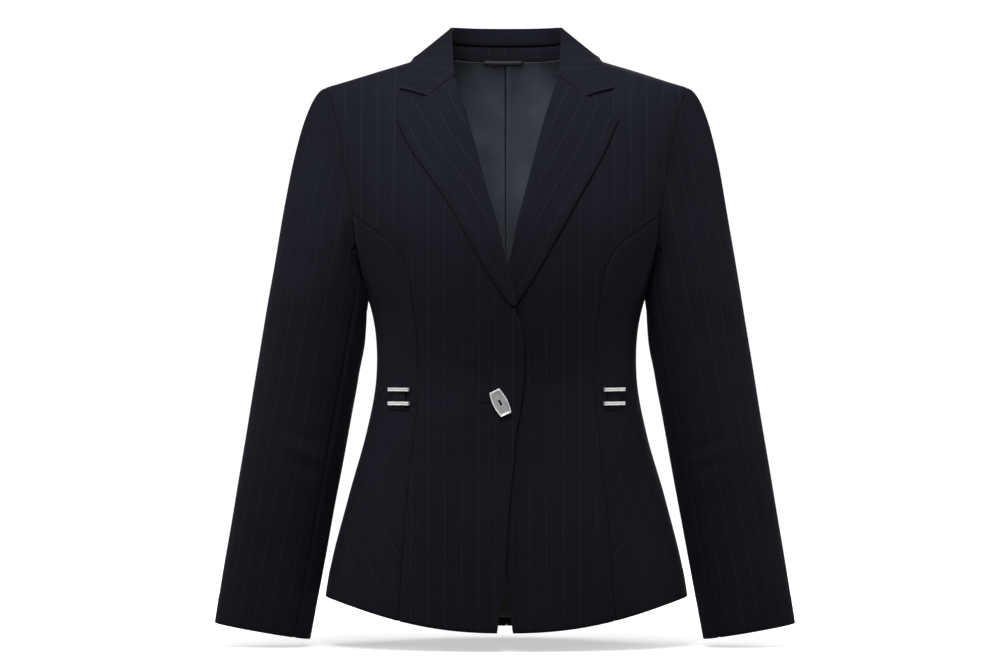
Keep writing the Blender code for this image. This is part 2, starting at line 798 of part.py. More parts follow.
def clear_of_cloth(point, lift):
    """Moves a point out until it stands at least a lift away from the shoulder or chest under it."""
    x, y, z = point
    facing = FRONT if y < 0 else BACK
    for _ in range(6):
        above = z - surface_height(x, y)
        beyond = abs(y) - depth_at(x, z, facing)
        size = max(math.hypot(above, beyond), 1e-9)
        gap = math.copysign(abs(above * beyond) / size, above)
        if gap >= lift or above > 0 > beyond:
            break
        y += (lift - gap) * facing * abs(above) / size
        z += (lift - gap) * abs(beyond) / size
    return np.array((x, y, z))


def collar_section(place):
    """Points across the collar's visible face, from its inner seam over the fold to its outer edge."""
    fold = neck_path(place, FOLD_LINE)
    seam = neck_path(place, NECK_LINE)
    edge = neck_path(place, OUTER_LINE)
    edge[2] = surface_height(edge[0], edge[1]) + FOLD_LIFT
    fall = [mix(fold, edge, j / FALL_POINTS) for j in range(1, FALL_POINTS + 1)]
    down, out = unit(seam - fold), unit(fall[0] - fold)
    inside = fold + STAND_SHARE * (seam - fold)
    fold_in = fold + FOLD_DROP * down - FOLD_HALF * unit(out - down) * 0.5
    front = turned_back_row(RIGHT, gorge_nodes(COLLAR_POINT))[0]
    towards_front = ease((place - COLLAR_SHOULDER) / (1 - COLLAR_SHOULDER))
    points = [mix(a, b, towards_front) for a, b in zip([inside, fold_in, fold] + fall, front)]
    if place == 1:
        return points
    return points[:3] + [clear_of_cloth(point, FOLD_LIFT) for point in points[3:]]


def collar_grids():
    stations = [k / COLLAR_ROWS for k in range(-COLLAR_ROWS, COLLAR_ROWS + 1)]
    mirrors = np.array([(math.copysign(1, s), 1, 1) for s in stations])
    grid = np.array([collar_section(abs(s)) for s in stations]) * mirrors[:, None, :]
    normals = grid_normals(grid)
    normals *= math.copysign(1, normals[COLLAR_ROWS, 2, 2])
    inner = grid - COLLAR_CLOTH * normals
    for row in (0, -1):
        inner[row] = turned_back_row(RIGHT, gorge_nodes(COLLAR_POINT))[1] * mirrors[row]
    return grid, inner


def stand_grids():
    """The band inside the neck between the neck seam and the collar's inner seam."""
    rows = []
    for s in [k / COLLAR_ROWS for k in range(-STAND_ROWS, STAND_ROWS + 1)]:
        seam, upper = neck_path(abs(s), NECK_LINE), collar_section(abs(s))[0]
        upper = upper + STAND_GAP * unit(seam - upper)
        rows.append([mix(seam, upper, t) * (math.copysign(1, s), 1, 1) for t in (0, 0.5, 1)])
    grid = np.array(rows)
    normals = grid_normals(grid)
    normals *= -math.copysign(1, normals[STAND_ROWS, 1, 1])
    return grid, grid - COLLAR_CLOTH * normals


# ---------------------------------------------------------------- lining


def lining_grids():
    """The back lining, with a centre pleat that lies to the wearer's left."""
    outer_grid = back_grids()[0]
    shares = back_columns()
    first, last = PLEAT_SPAN
    centre = (first - PLEAT_EDGE, first, last, last + PLEAT_EDGE)
    hidden, seen = [], []
    for row in outer_grid[1:]:
        edge_x, hem_z, edge_z = row[-1][0], row[0][2], row[-1][2]
        heights = smooth([(point[0], point[2]) for point in row])
        places = [-edge_x * u for u in reversed(shares[1:])]
        places += list(centre) + [edge_x * u for u in shares[2:]]
        hidden_row, seen_row = [], []
        for x in places:
            z = heights(abs(x))
            fade = ease((z - PLEAT_FADE[0]) / (PLEAT_FADE[1] - PLEAT_FADE[0]))
            pleat = PLEAT_DEEP * fade if first <= x <= last else 0
            normal = normal_at(x, z, BACK)
            point = surface_point(x, z, BACK, -SUITING - LINING_GAP)
            hidden_row.append(point)
            seen_row.append(point - (SATIN + pleat) * normal)
        hidden.append(hidden_row)
        seen.append(seen_row)
    return np.array(hidden), np.array(seen)


def hanging_loop():
    rows = []
    for t in np.linspace(-1, 1, LOOP_POINTS):
        x = mix(LOOP_ENDS[0], LOOP_ENDS[1], (t + 1) / 2)
        y = LOOP_DEPTH - LOOP_BOW * (1 - t * t)
        drop = LOOP_SAG * (1 - t * t)
        rows.append([(x, y, LOOP_HEIGHT - drop + LOOP_HIGH * v) for v in (-0.5, 0.5)])
    grid = np.array(rows)
    wall("hanging_loop", "satin", grid, grid + (0, SATIN, 0))


# ---------------------------------------------------------------- hardware


def place_on_body(side, x, z, lift, tilt=0.0):
    """A frame on the front's surface: its middle, and its across, up and outward directions."""
    middle = surface_point(x, z, FRONT, lift) * (side, 1, 1)
    outwards = normal_at(x, z, FRONT) * (side, 1, 1)
    up = unit(np.array((0, 0, 1)) - outwards[2] * outwards)
    across = np.cross(up, outwards)
    turned = across * math.cos(tilt) - up * math.sin(tilt)
    return middle, turned, across * math.sin(tilt) + up * math.cos(tilt), outwards


def rounded_block(name, outline, thick, frame, edge):
    """An outline raised to a thickness with bevelled edges, set on its frame."""
    middle, across, up, outwards = frame
    bm = bmesh.new()
    face = bm.faces.new([bm.verts.new(middle + across * a + up * b) for a, b in outline])
    raised = bmesh.ops.extrude_face_region(bm, geom=[face])
    tops = [item for item in raised["geom"] if isinstance(item, bmesh.types.BMVert)]
    bmesh.ops.translate(bm, verts=tops, vec=Vector(outwards * thick))
    rims = [e for e in bm.edges if all(v in tops for v in e.verts)]
    bmesh.ops.bevel(bm, geom=rims, offset=edge, segments=2, profile=0.5, affect="EDGES")
    bmesh.ops.recalc_face_normals(bm, faces=bm.faces)
    return finished(name, "brushed_metal", bm)


def button():
    """A flat barrel with bowed long sides and a slot through it."""
    x, z = BUTTON_CENTRE
    lift = lap(RIGHT, -x, z) + BUTTON_LIFT
    frame = place_on_body(RIGHT, -x, z, lift, -math.radians(BUTTON_TILT_DEG))
    sides = []
    for t in np.linspace(-1, 1, BUTTON_SIDE_POINTS):
        half = mix(BUTTON_MIDDLE, BUTTON_END, t * t) / 2
        sides.append((half, t * BUTTON_LENGTH / 2))
    outline = sides + [(-a, b) for a, b in reversed(sides)]
    body = rounded_block("button", outline, BUTTON_THICK, frame, BUTTON_ROUND)
    long, wide = BUTTON_SLOT
    middle, across, up, outwards = frame
    bm = bmesh.new()
    corners = [(a * wide / 2, b * long / 2) for a, b in ((-1, -1), (1, -1), (1, 1), (-1, 1))]
    low = middle - outwards * CUTTER_REACH
    face = bm.faces.new([bm.verts.new(low + across * a + up * b) for a, b in corners])
    raised = bmesh.ops.extrude_face_region(bm, geom=[face])
    tops = [item for item in raised["geom"] if isinstance(item, bmesh.types.BMVert)]
    bmesh.ops.translate(bm, verts=tops, vec=Vector(outwards * (BUTTON_THICK + 2 * CUTTER_REACH)))
    bmesh.ops.recalc_face_normals(bm, faces=bm.faces)
    cutter = finished("button_slot", "brushed_metal", bm)
    cutter.hide_render = True
    cutter.display_type = "WIRE"
    cut = body.modifiers.new("slot", "BOOLEAN")
    cut.operation = "DIFFERENCE"
    cut.object = cutter


def waist_bar(name, side, height):
    """A straight flat bar lying across the curve of the side panel."""
    ends = [surface_point(x, height, FRONT, BAR_LIFT) * (side, 1, 1) for x in BAR_SPAN]
    middle = (ends[0] + ends[1]) / 2
    centre_x = sum(BAR_SPAN) / 2
    crown = surface_point(centre_x, height, FRONT, BAR_LIFT) * (side, 1, 1)
    across = unit(ends[1] - ends[0]) * side
    outwards = unit(np.cross(across, (0, 0, 1)))
    up = np.cross(outwards, across)
    middle = middle + outwards * max(np.dot(crown - middle, outwards), 0)
    long = (BAR_SPAN[1] - BAR_SPAN[0]) / 2 / max(abs(across[0]), 0.1)
    outline = [(a * long, b * BAR_HIGH / 2) for a, b in ((-1, -1), (1, -1), (1, 1), (-1, 1))]
    rounded_block(name, outline, BAR_THICK, (middle, across, up, outwards), BAR_ROUND)


def waist_tab(name, side):
    """The short tab of suiting under the two bars."""
    rows, columns = TAB_GRID
    places = [[(x, z) for x in np.linspace(*TAB_SPAN, columns)] for z in np.linspace(*TAB_HEIGHTS, rows)]
    outer, inner = [
        np.array([[surface_point(x, z, FRONT, lift) for x, z in row] for row in places])
        for lift in (TAB_GAP + TAB_THICK, TAB_GAP)
    ]
    wall(name, "suiting", outer, inner, side)


# ---------------------------------------------------------------- the blazer


def build():
    for obj in list(bpy.data.objects):
        bpy.data.objects.remove(obj)
    back, side_panel = back_grids(), side_grids()
    for name, side in (("right", RIGHT), ("left", LEFT)):
        front = front_grids(side)
        wall(f"front_{name}", "suiting", *front, side, ("end", "top"))
        wall(f"side_{name}", "suiting", *side_panel, side, ("start", "end", "top"))
        wall(f"back_{name}", "suiting", *back, side, ("start", "end", "top"))
        sleeve_pieces(name, side, sleeve_grids(front, side_panel, back))
        wall(f"lapel_{name}", "collar_suiting", *lapel_grids(side), side, ("bottom",))
        waist_tab(f"waist_tab_{name}", side)
        for place, height in BAR_HEIGHTS.items():
            waist_bar(f"waist_bar_{name}_{place}", side, height)
    wall("collar", "collar_suiting", *collar_grids(), LEFT, ("bottom", "top"))
    wall("collar_stand", "collar_suiting", *stand_grids())
    wall("lining_back", "satin", *lining_grids())
    hanging_loop()
    button()


build()
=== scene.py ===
"""A pinstriped blazer with its cloth, lining, sewing and metal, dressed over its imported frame.

Metres, +Z up, the fronts facing -Y and the wearer's right side at -X. Each piece is worked out on its own
side with x measured outwards from the centre front, and is then placed at -x or +x.
"""

import json
import logging
import math
from dataclasses import dataclass, field
from enum import Enum, IntEnum
from typing import Callable, Sequence

import bpy
import numpy as np
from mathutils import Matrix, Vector

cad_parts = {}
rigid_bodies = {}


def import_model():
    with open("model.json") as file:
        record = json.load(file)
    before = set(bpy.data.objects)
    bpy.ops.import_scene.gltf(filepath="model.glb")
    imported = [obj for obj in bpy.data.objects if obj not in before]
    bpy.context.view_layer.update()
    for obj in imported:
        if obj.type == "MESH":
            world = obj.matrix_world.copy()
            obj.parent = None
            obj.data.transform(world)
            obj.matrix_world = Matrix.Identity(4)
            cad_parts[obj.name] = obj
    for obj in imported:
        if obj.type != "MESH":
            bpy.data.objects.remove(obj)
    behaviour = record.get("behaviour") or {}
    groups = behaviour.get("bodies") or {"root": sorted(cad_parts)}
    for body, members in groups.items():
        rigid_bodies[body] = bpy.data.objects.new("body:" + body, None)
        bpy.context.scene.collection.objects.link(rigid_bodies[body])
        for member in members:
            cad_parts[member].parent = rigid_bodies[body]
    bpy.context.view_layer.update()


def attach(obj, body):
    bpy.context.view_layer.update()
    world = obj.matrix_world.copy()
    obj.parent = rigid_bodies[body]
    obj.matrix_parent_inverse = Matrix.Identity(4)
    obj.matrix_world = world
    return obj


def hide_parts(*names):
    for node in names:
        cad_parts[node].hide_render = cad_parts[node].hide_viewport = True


for leftover in list(bpy.data.objects):
    bpy.data.objects.remove(leftover)
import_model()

log = logging.getLogger("blazer")

Array = np.ndarray
Table = Sequence[Sequence[float]]
Colour = tuple[float, float, float, float]
Socket = bpy.types.NodeSocket
Material = bpy.types.Material
Object = bpy.types.Object

# Cloth thicknesses and the gaps between pieces.
SUITING = 0.0018
COLLAR_CLOTH = 0.0015
SATIN = 0.0008
SEAM_GAP = 0.00012
LAYER_GAP = 0.0009
FOLD_LIFT = LAYER_GAP + COLLAR_CLOTH  # outer face of turned-back cloth above the front's outer face
ROLL_RADIUS = SUITING / 2 + FOLD_LIFT
SKIN = 0.0001  # what a thread or an edge stands off the cloth


class Side(IntEnum):
    """The wearer's side a piece is on, as the sign of its x."""

    RIGHT = -1
    LEFT = 1

    @property
    def word(self) -> str:
        """The side as a word in a piece's name."""
        return self.name.lower()

    @property
    def flip(self) -> tuple:
        """What points worked out on the left are multiplied by to lie on this side."""
        return (int(self), 1, 1)


class Facing(IntEnum):
    """Which half of the body a place is on, as the sign of its y."""

    FRONT = -1
    BACK = 1


class Edge(Enum):
    """An edge of a grid of points, whose rows run from BOTTOM to TOP and columns from START to END."""

    BOTTOM = 0
    TOP = 1
    START = 2
    END = 3


class Sewn(Enum):
    """How an edge is finished: joined and pressed open, turned up and felled, or bagged out and pressed."""

    SEAM = "s"
    HEM = "h"
    FREE = "f"


# how far out a face's points move, given their normals and side
Moved = Callable[[Array, Array, Side], Array]


# ---- small helpers


def sewn(letters: str) -> dict:
    """Returns how the bottom, top, start and end edges are finished, from a letter for each."""
    return dict(zip(Edge, map(Sewn, letters)))


def mix(start: Array | float, end: Array | float, share: Array | float) -> Array | float:
    """Returns the value a share of the way from start to end."""
    return start + (end - start) * share


def ease(value: Array | float) -> Array | float:
    """Returns 0 below 0, 1 above 1 and a smooth step between."""
    value = np.clip(value, 0.0, 1.0)
    return value * value * (3 - 2 * value)


def bell(value: Array | float) -> Array | float:
    """Returns 1 at 0 and a smooth fall to 0 on both sides of it."""
    return np.exp(-(value**2))


def arc(share: Array | float, n: Array | float) -> Array | float:
    """Returns how high a squared-off quarter circle is at a share of its width."""
    return (1 - share**n) ** (1 / n)


def unit(vectors: Array) -> Array:
    """Returns the vectors with length 1."""
    return vectors / np.maximum(np.linalg.norm(vectors, axis=-1, keepdims=True), 1e-12)


def packed(*parts: Array | float) -> Array:
    """Returns the parts, spread to one shape, as the last axis of one array."""
    return np.stack(np.broadcast_arrays(*parts), axis=-1)


def facing_of(y: Array) -> Array:
    """Returns -1 in front of the middle and 1 behind it."""
    return np.where(y < 0, -1, 1)


def mirrored(rows: Array) -> Array:
    """Returns rows of the left half after their mirror images, the row at the centre once."""
    return np.concatenate([rows[:0:-1] * (-1, 1, 1), rows])


def crowded(count: int, crowding: float = 0.7) -> Array:
    """Returns count + 1 shares from 0 to 1 that lie closer together near both ends."""
    even = np.linspace(0, 1, count + 1)
    return even - crowding * np.sin(2 * np.pi * even) / (2 * np.pi)


def runs(grid: Array, axis: int) -> Array:
    """Measures along a grid.

    Args:
        grid: a grid of points.
        axis: 0 to go along the columns, 1 to go along the rows.

    Returns:
        Each point's distance along its column (axis 0) or its row (axis 1), from the first.
    """
    steps = np.linalg.norm(np.diff(grid, axis=axis), axis=2)
    start = np.zeros_like(np.take(steps, [0], axis=axis))
    return np.concatenate([start, np.cumsum(steps, axis=axis)], axis=axis)


def grid_normals(grid: Array) -> Array:
    """Returns unit normals of a grid of points, from its rows and columns."""
    return unit(np.cross(np.gradient(grid, axis=1), np.gradient(grid, axis=0)))


def hermite(start: Array, end: Array, leaving: Array, arriving: Array, t: Array | float) -> Array:
    """Returns the value a share t along curves from their ends and their slopes there."""
    first = start * (1 + 2 * t) * (1 - t) ** 2 + leaving * t * (1 - t) ** 2
    return first + end * t * t * (3 - 2 * t) + arriving * t * t * (t - 1)


def through(stations: Array, knots: Array, wanted: Array) -> Array:
    """Draws smooth curves through rows of knots.

    Args:
        stations: where each row of knots stands, rising.
        knots: the rows of knots.
        wanted: the stations of the rows to return.

    Returns:
        Rows of points at the wanted stations.
    """
    slopes = np.gradient(knots, stations, axis=0)
    i = np.clip(np.searchsorted(stations, wanted, side="right") - 1, 0, len(stations) - 2)
    span = (stations[i + 1] - stations[i])[:, None, None]
    t = (wanted - stations[i])[:, None, None] / span
    return hermite(knots[i], knots[i + 1], slopes[i] * span, slopes[i + 1] * span, t)


class Profile:
    """A smooth function through a table's first column (the stations) and another column (the values)."""

    def __init__(self, rows: Table, column: int = 1) -> None:
        """Reads the table, whose first column rises.

        Args:
            rows: the table, whose first column rises.
            column: the column to read the values from.
        """
        self.stations = np.array([row[0] for row in rows])
        self.values = np.array([row[column] for row in rows])
        self.slopes = np.gradient(self.values, self.stations)

    def __call__(self, station: Array | float) -> Array:
        """Reads the table.

        Args:
            station: where to read it.

        Returns:
            The value at each station, held level past the table's ends.
        """
        station = np.clip(station, self.stations[0], self.stations[-1])
        i = np.searchsorted(self.stations, station, side="right") - 1
        i = np.clip(i, 0, len(self.stations) - 2)
        span = self.stations[i + 1] - self.stations[i]
        t = (station - self.stations[i]) / span
        return hermite(
            self.values[i], self.values[i + 1], self.slopes[i] * span, self.slopes[i + 1] * span, t
        )


def profiles(rows: Table) -> list[Profile]:
    """Returns a smooth function for each column of values in a table."""
    return [Profile(rows, column) for column in range(1, len(rows[0]))]


def along_line(points: Array, line: Array) -> tuple[Array, Array]:
    """Compares points with a line, step by step.

    Args:
        points: the points, with as many coordinates as the line.
        line: the line's corners, in order.

    Returns:
        For each point and each step, the nearest share of the step and the offset from it.
    """
    steps = np.diff(line, axis=0)
    lengths = np.maximum(np.einsum("ij,ij->i", steps, steps), 1e-12)
    share = np.clip(np.einsum("nij,ij->ni", points[:, None] - line[None, :-1], steps) / lengths, 0, 1)
    return share, points[:, None] - (line[None, :-1] + share[..., None] * steps[None])


# ---- the coat's form


@dataclass
class Form:
    """The outer face of the coat's body: level sections that round over to the shoulder seams."""

    # height, half width, front depth, back depth, squareness
    sections: Table = (
        (-0.635, 0.2045, 0.126, 0.134, 2.3), (-0.56, 0.1945, 0.121, 0.131, 2.3),
        (-0.48, 0.1745, 0.111, 0.121, 2.3), (-0.41, 0.1545, 0.103, 0.105, 2.3),
        (-0.345, 0.143, 0.1, 0.096, 2.35), (-0.284, 0.1463, 0.112, 0.1, 2.4),
        (-0.24, 0.1585, 0.121, 0.107, 2.5), (-0.19, 0.175, 0.124, 0.113, 2.6),
        (-0.12, 0.19, 0.121, 0.115, 2.6), (-0.05, 0.204, 0.117, 0.113, 2.6), (0.02, 0.215, 0.114, 0.11, 2.6)
    )
    round_from: float = -0.2
    # distance, front, back: the powers by which the depth falls off towards the shoulder
    rounding: Table = (
        (0.0, 0.66, 0.263), (0.04, 0.64, 0.272), (0.066, 0.6, 0.355), (0.09, 0.555, 0.43),
        (0.13, 0.49, 0.44), (0.1985, 0.44, 0.44)
    )
    neck_half: float = 0.072
    neck_side_height: float = 0.0103
    neck_back_height: float = 0.005
    neck_squareness: float = 2.4
    shoulder_half: float = 0.1985
    shoulder_slope: float = 0.306
    hem_side_height: float = -0.5865
    hem_drops: tuple = (0.0335, 0.0415)  # front, back
    hem_curve: float = 2.7
    lap_lift: dict = field(default_factory=lambda: {Side.RIGHT: 0.0032, Side.LEFT: -0.0028})
    lap_reach: float = 0.05
    lap_fade: tuple = (-0.205, -0.12)

    def __post_init__(self) -> None:
        """Makes the smooth functions of the tables."""
        self.half_width, self.front_depth, self.back_depth, self.squareness = profiles(self.sections)
        self.front_rounding, self.back_rounding = profiles(self.rounding)

    def shoulder_height(self, x: Array) -> Array:
        """Follows the shoulder line, carried on over the neck as a smooth crown.

        Args:
            x: distances from the centre line, on the left side.

        Returns:
            The heights.
        """
        away = np.abs(x)
        crown = (away**2 + self.neck_half**2) / (2 * self.neck_half)
        place = np.where(away > self.neck_half, away, crown)
        return self.neck_side_height + (self.neck_half - place) * self.shoulder_slope

    def panel_top(self, x: Array, facing: Facing) -> Array:
        """Follows a panel's upper edge: the shoulder seam, or the back neck.

        Args:
            x: distances from the centre line, on the left side.
            facing: the front or the back.

        Returns:
            The heights.
        """
        dip = arc(np.clip(np.abs(x) / self.neck_half, 0, 1), self.neck_squareness)
        neck = mix(self.neck_side_height, self.neck_back_height, dip)
        at_neck = (np.abs(x) < self.neck_half) & (facing == Facing.BACK)
        return np.where(at_neck, neck, self.shoulder_height(x))

    def full_depth(self, z: Array, facing: Array | int) -> Array:
        """Returns the section's depth at the centre, before the shoulder rounds over."""
        return np.where(np.asarray(facing) < 0, self.front_depth(z), self.back_depth(z))

    def depth(self, x: Array, z: Array, facing: Array | int) -> Array:
        """Measures the body front to back.

        Args:
            x: distances from the centre line, on the left side.
            z: heights.
            facing: the front or the back.

        Returns:
            How far in front of or behind y = 0 the cloth's outer face is.
        """
        x = np.abs(x)
        full = self.full_depth(z, facing) * arc(np.clip(x / self.half_width(z), 0, 1), self.squareness(z))
        rise = np.clip((z - self.round_from) / (self.shoulder_height(x) - self.round_from), 0, 1)
        power = np.where(np.asarray(facing) < 0, self.front_rounding(x), self.back_rounding(x))
        return full * (1 - rise**2) ** power

    def normal(self, x: Array, z: Array, facing: Array | int) -> Array:
        """Finds which way the body's surface faces.

        Args:
            x: distances from the centre line, on the left side.
            z: heights.
            facing: the front or the back.

        Returns:
            The outward directions.
        """
        x, z, facing = np.broadcast_arrays(np.asarray(x, float), np.asarray(z, float), facing)
        n, wide, deep = self.squareness(z), self.half_width(z), self.full_depth(z, facing)
        across = np.clip(np.abs(x) / wide, 0, 1)
        along = arc(across, n)
        step = 0.002
        widening = (self.half_width(z + step) - self.half_width(z - step)) / (2 * step)
        deepening = (self.full_depth(z + step, facing) - self.full_depth(z - step, facing)) / (2 * step)
        lean = -(across**n) * widening / wide - along**n * deepening / deep
        low = packed(np.copysign(across ** (n - 1) / wide, x), facing * along ** (n - 1) / deep, lean)
        top = self.shoulder_height(x)
        fine = 0.0004
        under, over = z - fine, np.minimum(z + fine, top)
        by_x = (self.depth(x + fine, z, facing) - self.depth(x - fine, z, facing)) / (2 * fine)
        by_z = self.depth(x, over, facing) - self.depth(x, under, facing)
        high = packed(-by_x, facing.astype(float), -by_z / np.maximum(over - under, 1e-9))
        crest = packed(np.copysign(self.shoulder_slope, x), 0.0, 1.0)
        high = np.where((top - z < 1e-5)[..., None], crest, high)
        return unit(np.where((z <= self.round_from)[..., None], low, high))

    def point(self, x: Array, z: Array, facing: Array | int, lift: Array | float = 0.0) -> Array:
        """Returns points on the body's surface, moved out by a lift."""
        base = packed(x, facing * self.depth(x, z, facing), z)
        return base + np.asarray(lift)[..., None] * self.normal(x, z, facing)

    def height_over(self, x: Array, y: Array) -> Array:
        """Finds the shoulder's upper surface.

        Args:
            x: distances from the centre line, on the left side.
            y: depths.

        Returns:
            The surface's height over each point of the plan.
        """
        high = self.shoulder_height(x)
        low = np.full_like(high, self.round_from)
        for _ in range(30):
            middle = (low + high) / 2
            inside = self.depth(x, middle, facing_of(y)) > np.abs(y)
            low, high = np.where(inside, middle, low), np.where(inside, high, middle)
        return (low + high) / 2

    def angle(self, x: Array, z: Array) -> Array:
        """Returns a point's angle round its level section: 0 at the side, a right angle at the centre."""
        share = np.clip(np.abs(x) / self.half_width(z), 0, 1)
        return np.arccos(share ** (self.squareness(z) / 2))

    def across(self, angle: Array, z: Array) -> Array:
        """Returns the distance from the centre of a point at an angle round its level section."""
        return self.half_width(z) * np.abs(np.cos(angle)) ** (2 / self.squareness(z))

    def hem(self, angle: Array, facing: Array | int) -> Array:
        """Returns the hem's height at an angle round the body."""
        drop = np.where(np.asarray(facing) < 0, *self.hem_drops)
        return self.hem_side_height - drop * np.abs(np.sin(angle)) ** self.hem_curve

    def hem_at(self, x: Array, facing: Array | int) -> Array:
        """Follows the hem.

        Args:
            x: distances from the centre line, on the left side.
            facing: the front or the back.

        Returns:
            The hem's heights.
        """
        height = np.full(np.shape(x), self.hem_side_height)
        for _ in range(6):
            height = self.hem(self.angle(x, height), facing)
        return height

    def seam_hem(self, seam: Callable, facing: Facing) -> float:
        """Finds where a seam meets the hem.

        Args:
            seam: the seam's distance from the centre line at each height.
            facing: the front or the back.

        Returns:
            The height of that place.
        """
        height = np.array(self.hem_side_height)
        for _ in range(8):
            height = self.hem_at(seam(height), facing)
        return float(height)

    def lap(self, side: Side, x: Array, z: Array) -> Array:
        """Returns how far a front stands out from the body where the two fronts cross."""
        low, high = self.lap_fade
        return self.lap_lift[side] * bell(x / self.lap_reach) * (1 - ease((z - low) / (high - low)))

    def clear(self, points: Array, lift: float) -> Array:
        """Moves points out, off the shoulder or chest under them.

        Args:
            points: the points, as x, y, z.
            lift: the least distance that they keep.

        Returns:
            The moved points.
        """
        points = points.copy()
        moving = np.ones(points.shape[:-1], bool)
        for _ in range(6):
            x, y, z = np.moveaxis(points, -1, 0)
            above, beyond = z - self.height_over(x, y), np.abs(y) - self.depth(x, z, facing_of(y))
            size = np.maximum(np.hypot(above, beyond), 1e-9)
            gap = np.copysign(np.abs(above * beyond) / size, above)
            moving &= (gap < lift) & ~((above > 0) & (beyond < 0))
            push = np.where(moving, lift - gap, 0) / size
            points[..., 1] += push * facing_of(y) * np.abs(above)
            points[..., 2] += push * np.abs(beyond)
        return points


FORM = Form()


# ---- folds in the cloth


@dataclass(frozen=True)
class Fold:
    """One soft trough along a line over the cloth, with a lower ridge beside it."""

    sides: str
    wide: float
    deep: float
    places: Table
    ridge: float = 0.4

    def line(self, chart: Callable[[Array, Array], Array]) -> Array:
        """Returns points along the fold in space, where the chart puts its places."""
        share = np.linspace(0, len(self.places) - 1, 24)
        return chart(*(part(share) for part in profiles([(k, *p) for k, p in enumerate(self.places)])))

    def relief(self, points: Array, normals: Array, line: Array) -> Array:
        """Raises or sinks cloth along the fold.

        Args:
            points: the points, as x, y, z.
            normals: the outward direction at each point.
            line: the fold's own points.

        Returns:
            How far each point moves outwards.
        """
        share, offsets = along_line(points, line)
        distances = np.linalg.norm(offsets, axis=2)
        best = np.argmin(distances, axis=1)
        pick = np.arange(len(points))
        along = (best + share[pick, best]) / (len(line) - 1)
        crossing = np.cross(unit(np.diff(line, axis=0))[best], normals)
        signed = np.einsum("ij,ij->i", crossing, offsets[pick, best]) / self.wide
        reach = distances[pick, best] / self.wide
        taper = ease(along / 0.3) * ease((1 - along) / 0.4)
        fall_off = np.exp(-np.maximum(reach**2 - signed**2, 0))
        return self.deep * taper * fall_off * (
            self.ridge * bell((np.abs(signed) - 1.7) / 0.9) - bell(signed)
        )


def folds(rows: Sequence, chart: Callable[[Array, Array], Array]) -> list:
    """Returns each row's fold (sides, half width, depth, then its places) with the chart of its places."""
    return [(Fold(sides, wide, deep, places), chart) for sides, wide, deep, *places in rows]


# On the body's front half: places are (distance from the centre, height).
FRONT_FOLDS = (
    ("right", 0.007, 0.0009, (0.018, -0.358), (0.042, -0.338), (0.08, -0.326)),
    ("right", 0.008, 0.0007, (0.016, -0.386), (0.044, -0.402), (0.078, -0.408)),
    ("left", 0.009, 0.0008, (0.02, -0.366), (0.048, -0.352), (0.074, -0.346)),
    ("right", 0.0013, 0.001, (0.094, -0.375), (0.101, -0.3742), (0.109, -0.3745)),
    ("right", 0.0012, 0.0006, (0.098, -0.3612), (0.103, -0.3602), (0.109, -0.3598)),
    ("left", 0.0013, 0.0009, (0.0925, -0.3612), (0.1, -0.36), (0.109, -0.3603)),
    ("left", 0.0013, 0.0008, (0.093, -0.3735), (0.101, -0.3742), (0.109, -0.374)),
    ("right left", 0.0016, 0.0009, (0.127, -0.36), (0.1335, -0.3612), (0.14, -0.364)),
    ("right left", 0.0016, 0.001, (0.127, -0.3745), (0.1335, -0.3752), (0.1405, -0.3745)),
    ("right left", 0.0095, 0.0011, (0.116, -0.19), (0.109, -0.222), (0.102, -0.262)),
    ("right", 0.01, 0.0012, (0.156, -0.236), (0.14, -0.262), (0.124, -0.292)),
    ("left", 0.011, 0.0014, (0.158, -0.24), (0.138, -0.272), (0.126, -0.312)),
    ("right", 0.015, 0.001, (0.056, -0.405), (0.06, -0.5), (0.068, -0.605)),
    ("left", 0.016, 0.0012, (0.064, -0.42), (0.07, -0.51), (0.076, -0.6)),
    ("right left", 0.013, 0.0012, (0.133, -0.42), (0.145, -0.5), (0.156, -0.59)),
    ("right", 0.012, 0.0009, (0.15, -0.06), (0.144, -0.11), (0.128, -0.16)),
    ("left", 0.012, 0.0008, (0.156, -0.07), (0.146, -0.12), (0.132, -0.15))
)
# On its back half, which the photograph does not show.
BACK_FOLDS = (
    ("right", 0.0095, 0.0014, (0.012, -0.322), (0.046, -0.33), (0.078, -0.318)),
    ("left", 0.01, 0.0012, (0.01, -0.336), (0.04, -0.342), (0.076, -0.336)),
    ("right left", 0.0085, 0.0009, (0.03, -0.352), (0.06, -0.35), (0.1, -0.338)),
    ("right", 0.013, 0.0012, (0.06, -0.085), (0.092, -0.13), (0.12, -0.19)),
    ("left", 0.013, 0.0011, (0.054, -0.1), (0.086, -0.14), (0.122, -0.18)),
    ("right left", 0.01, 0.0013, (0.148, -0.17), (0.132, -0.215), (0.126, -0.262)),
    ("right", 0.016, 0.0013, (0.05, -0.42), (0.06, -0.51), (0.07, -0.61)),
    ("left", 0.015, 0.0012, (0.044, -0.43), (0.05, -0.52), (0.058, -0.615)),
    ("right left", 0.014, 0.0012, (0.12, -0.43), (0.134, -0.51), (0.146, -0.6))
)
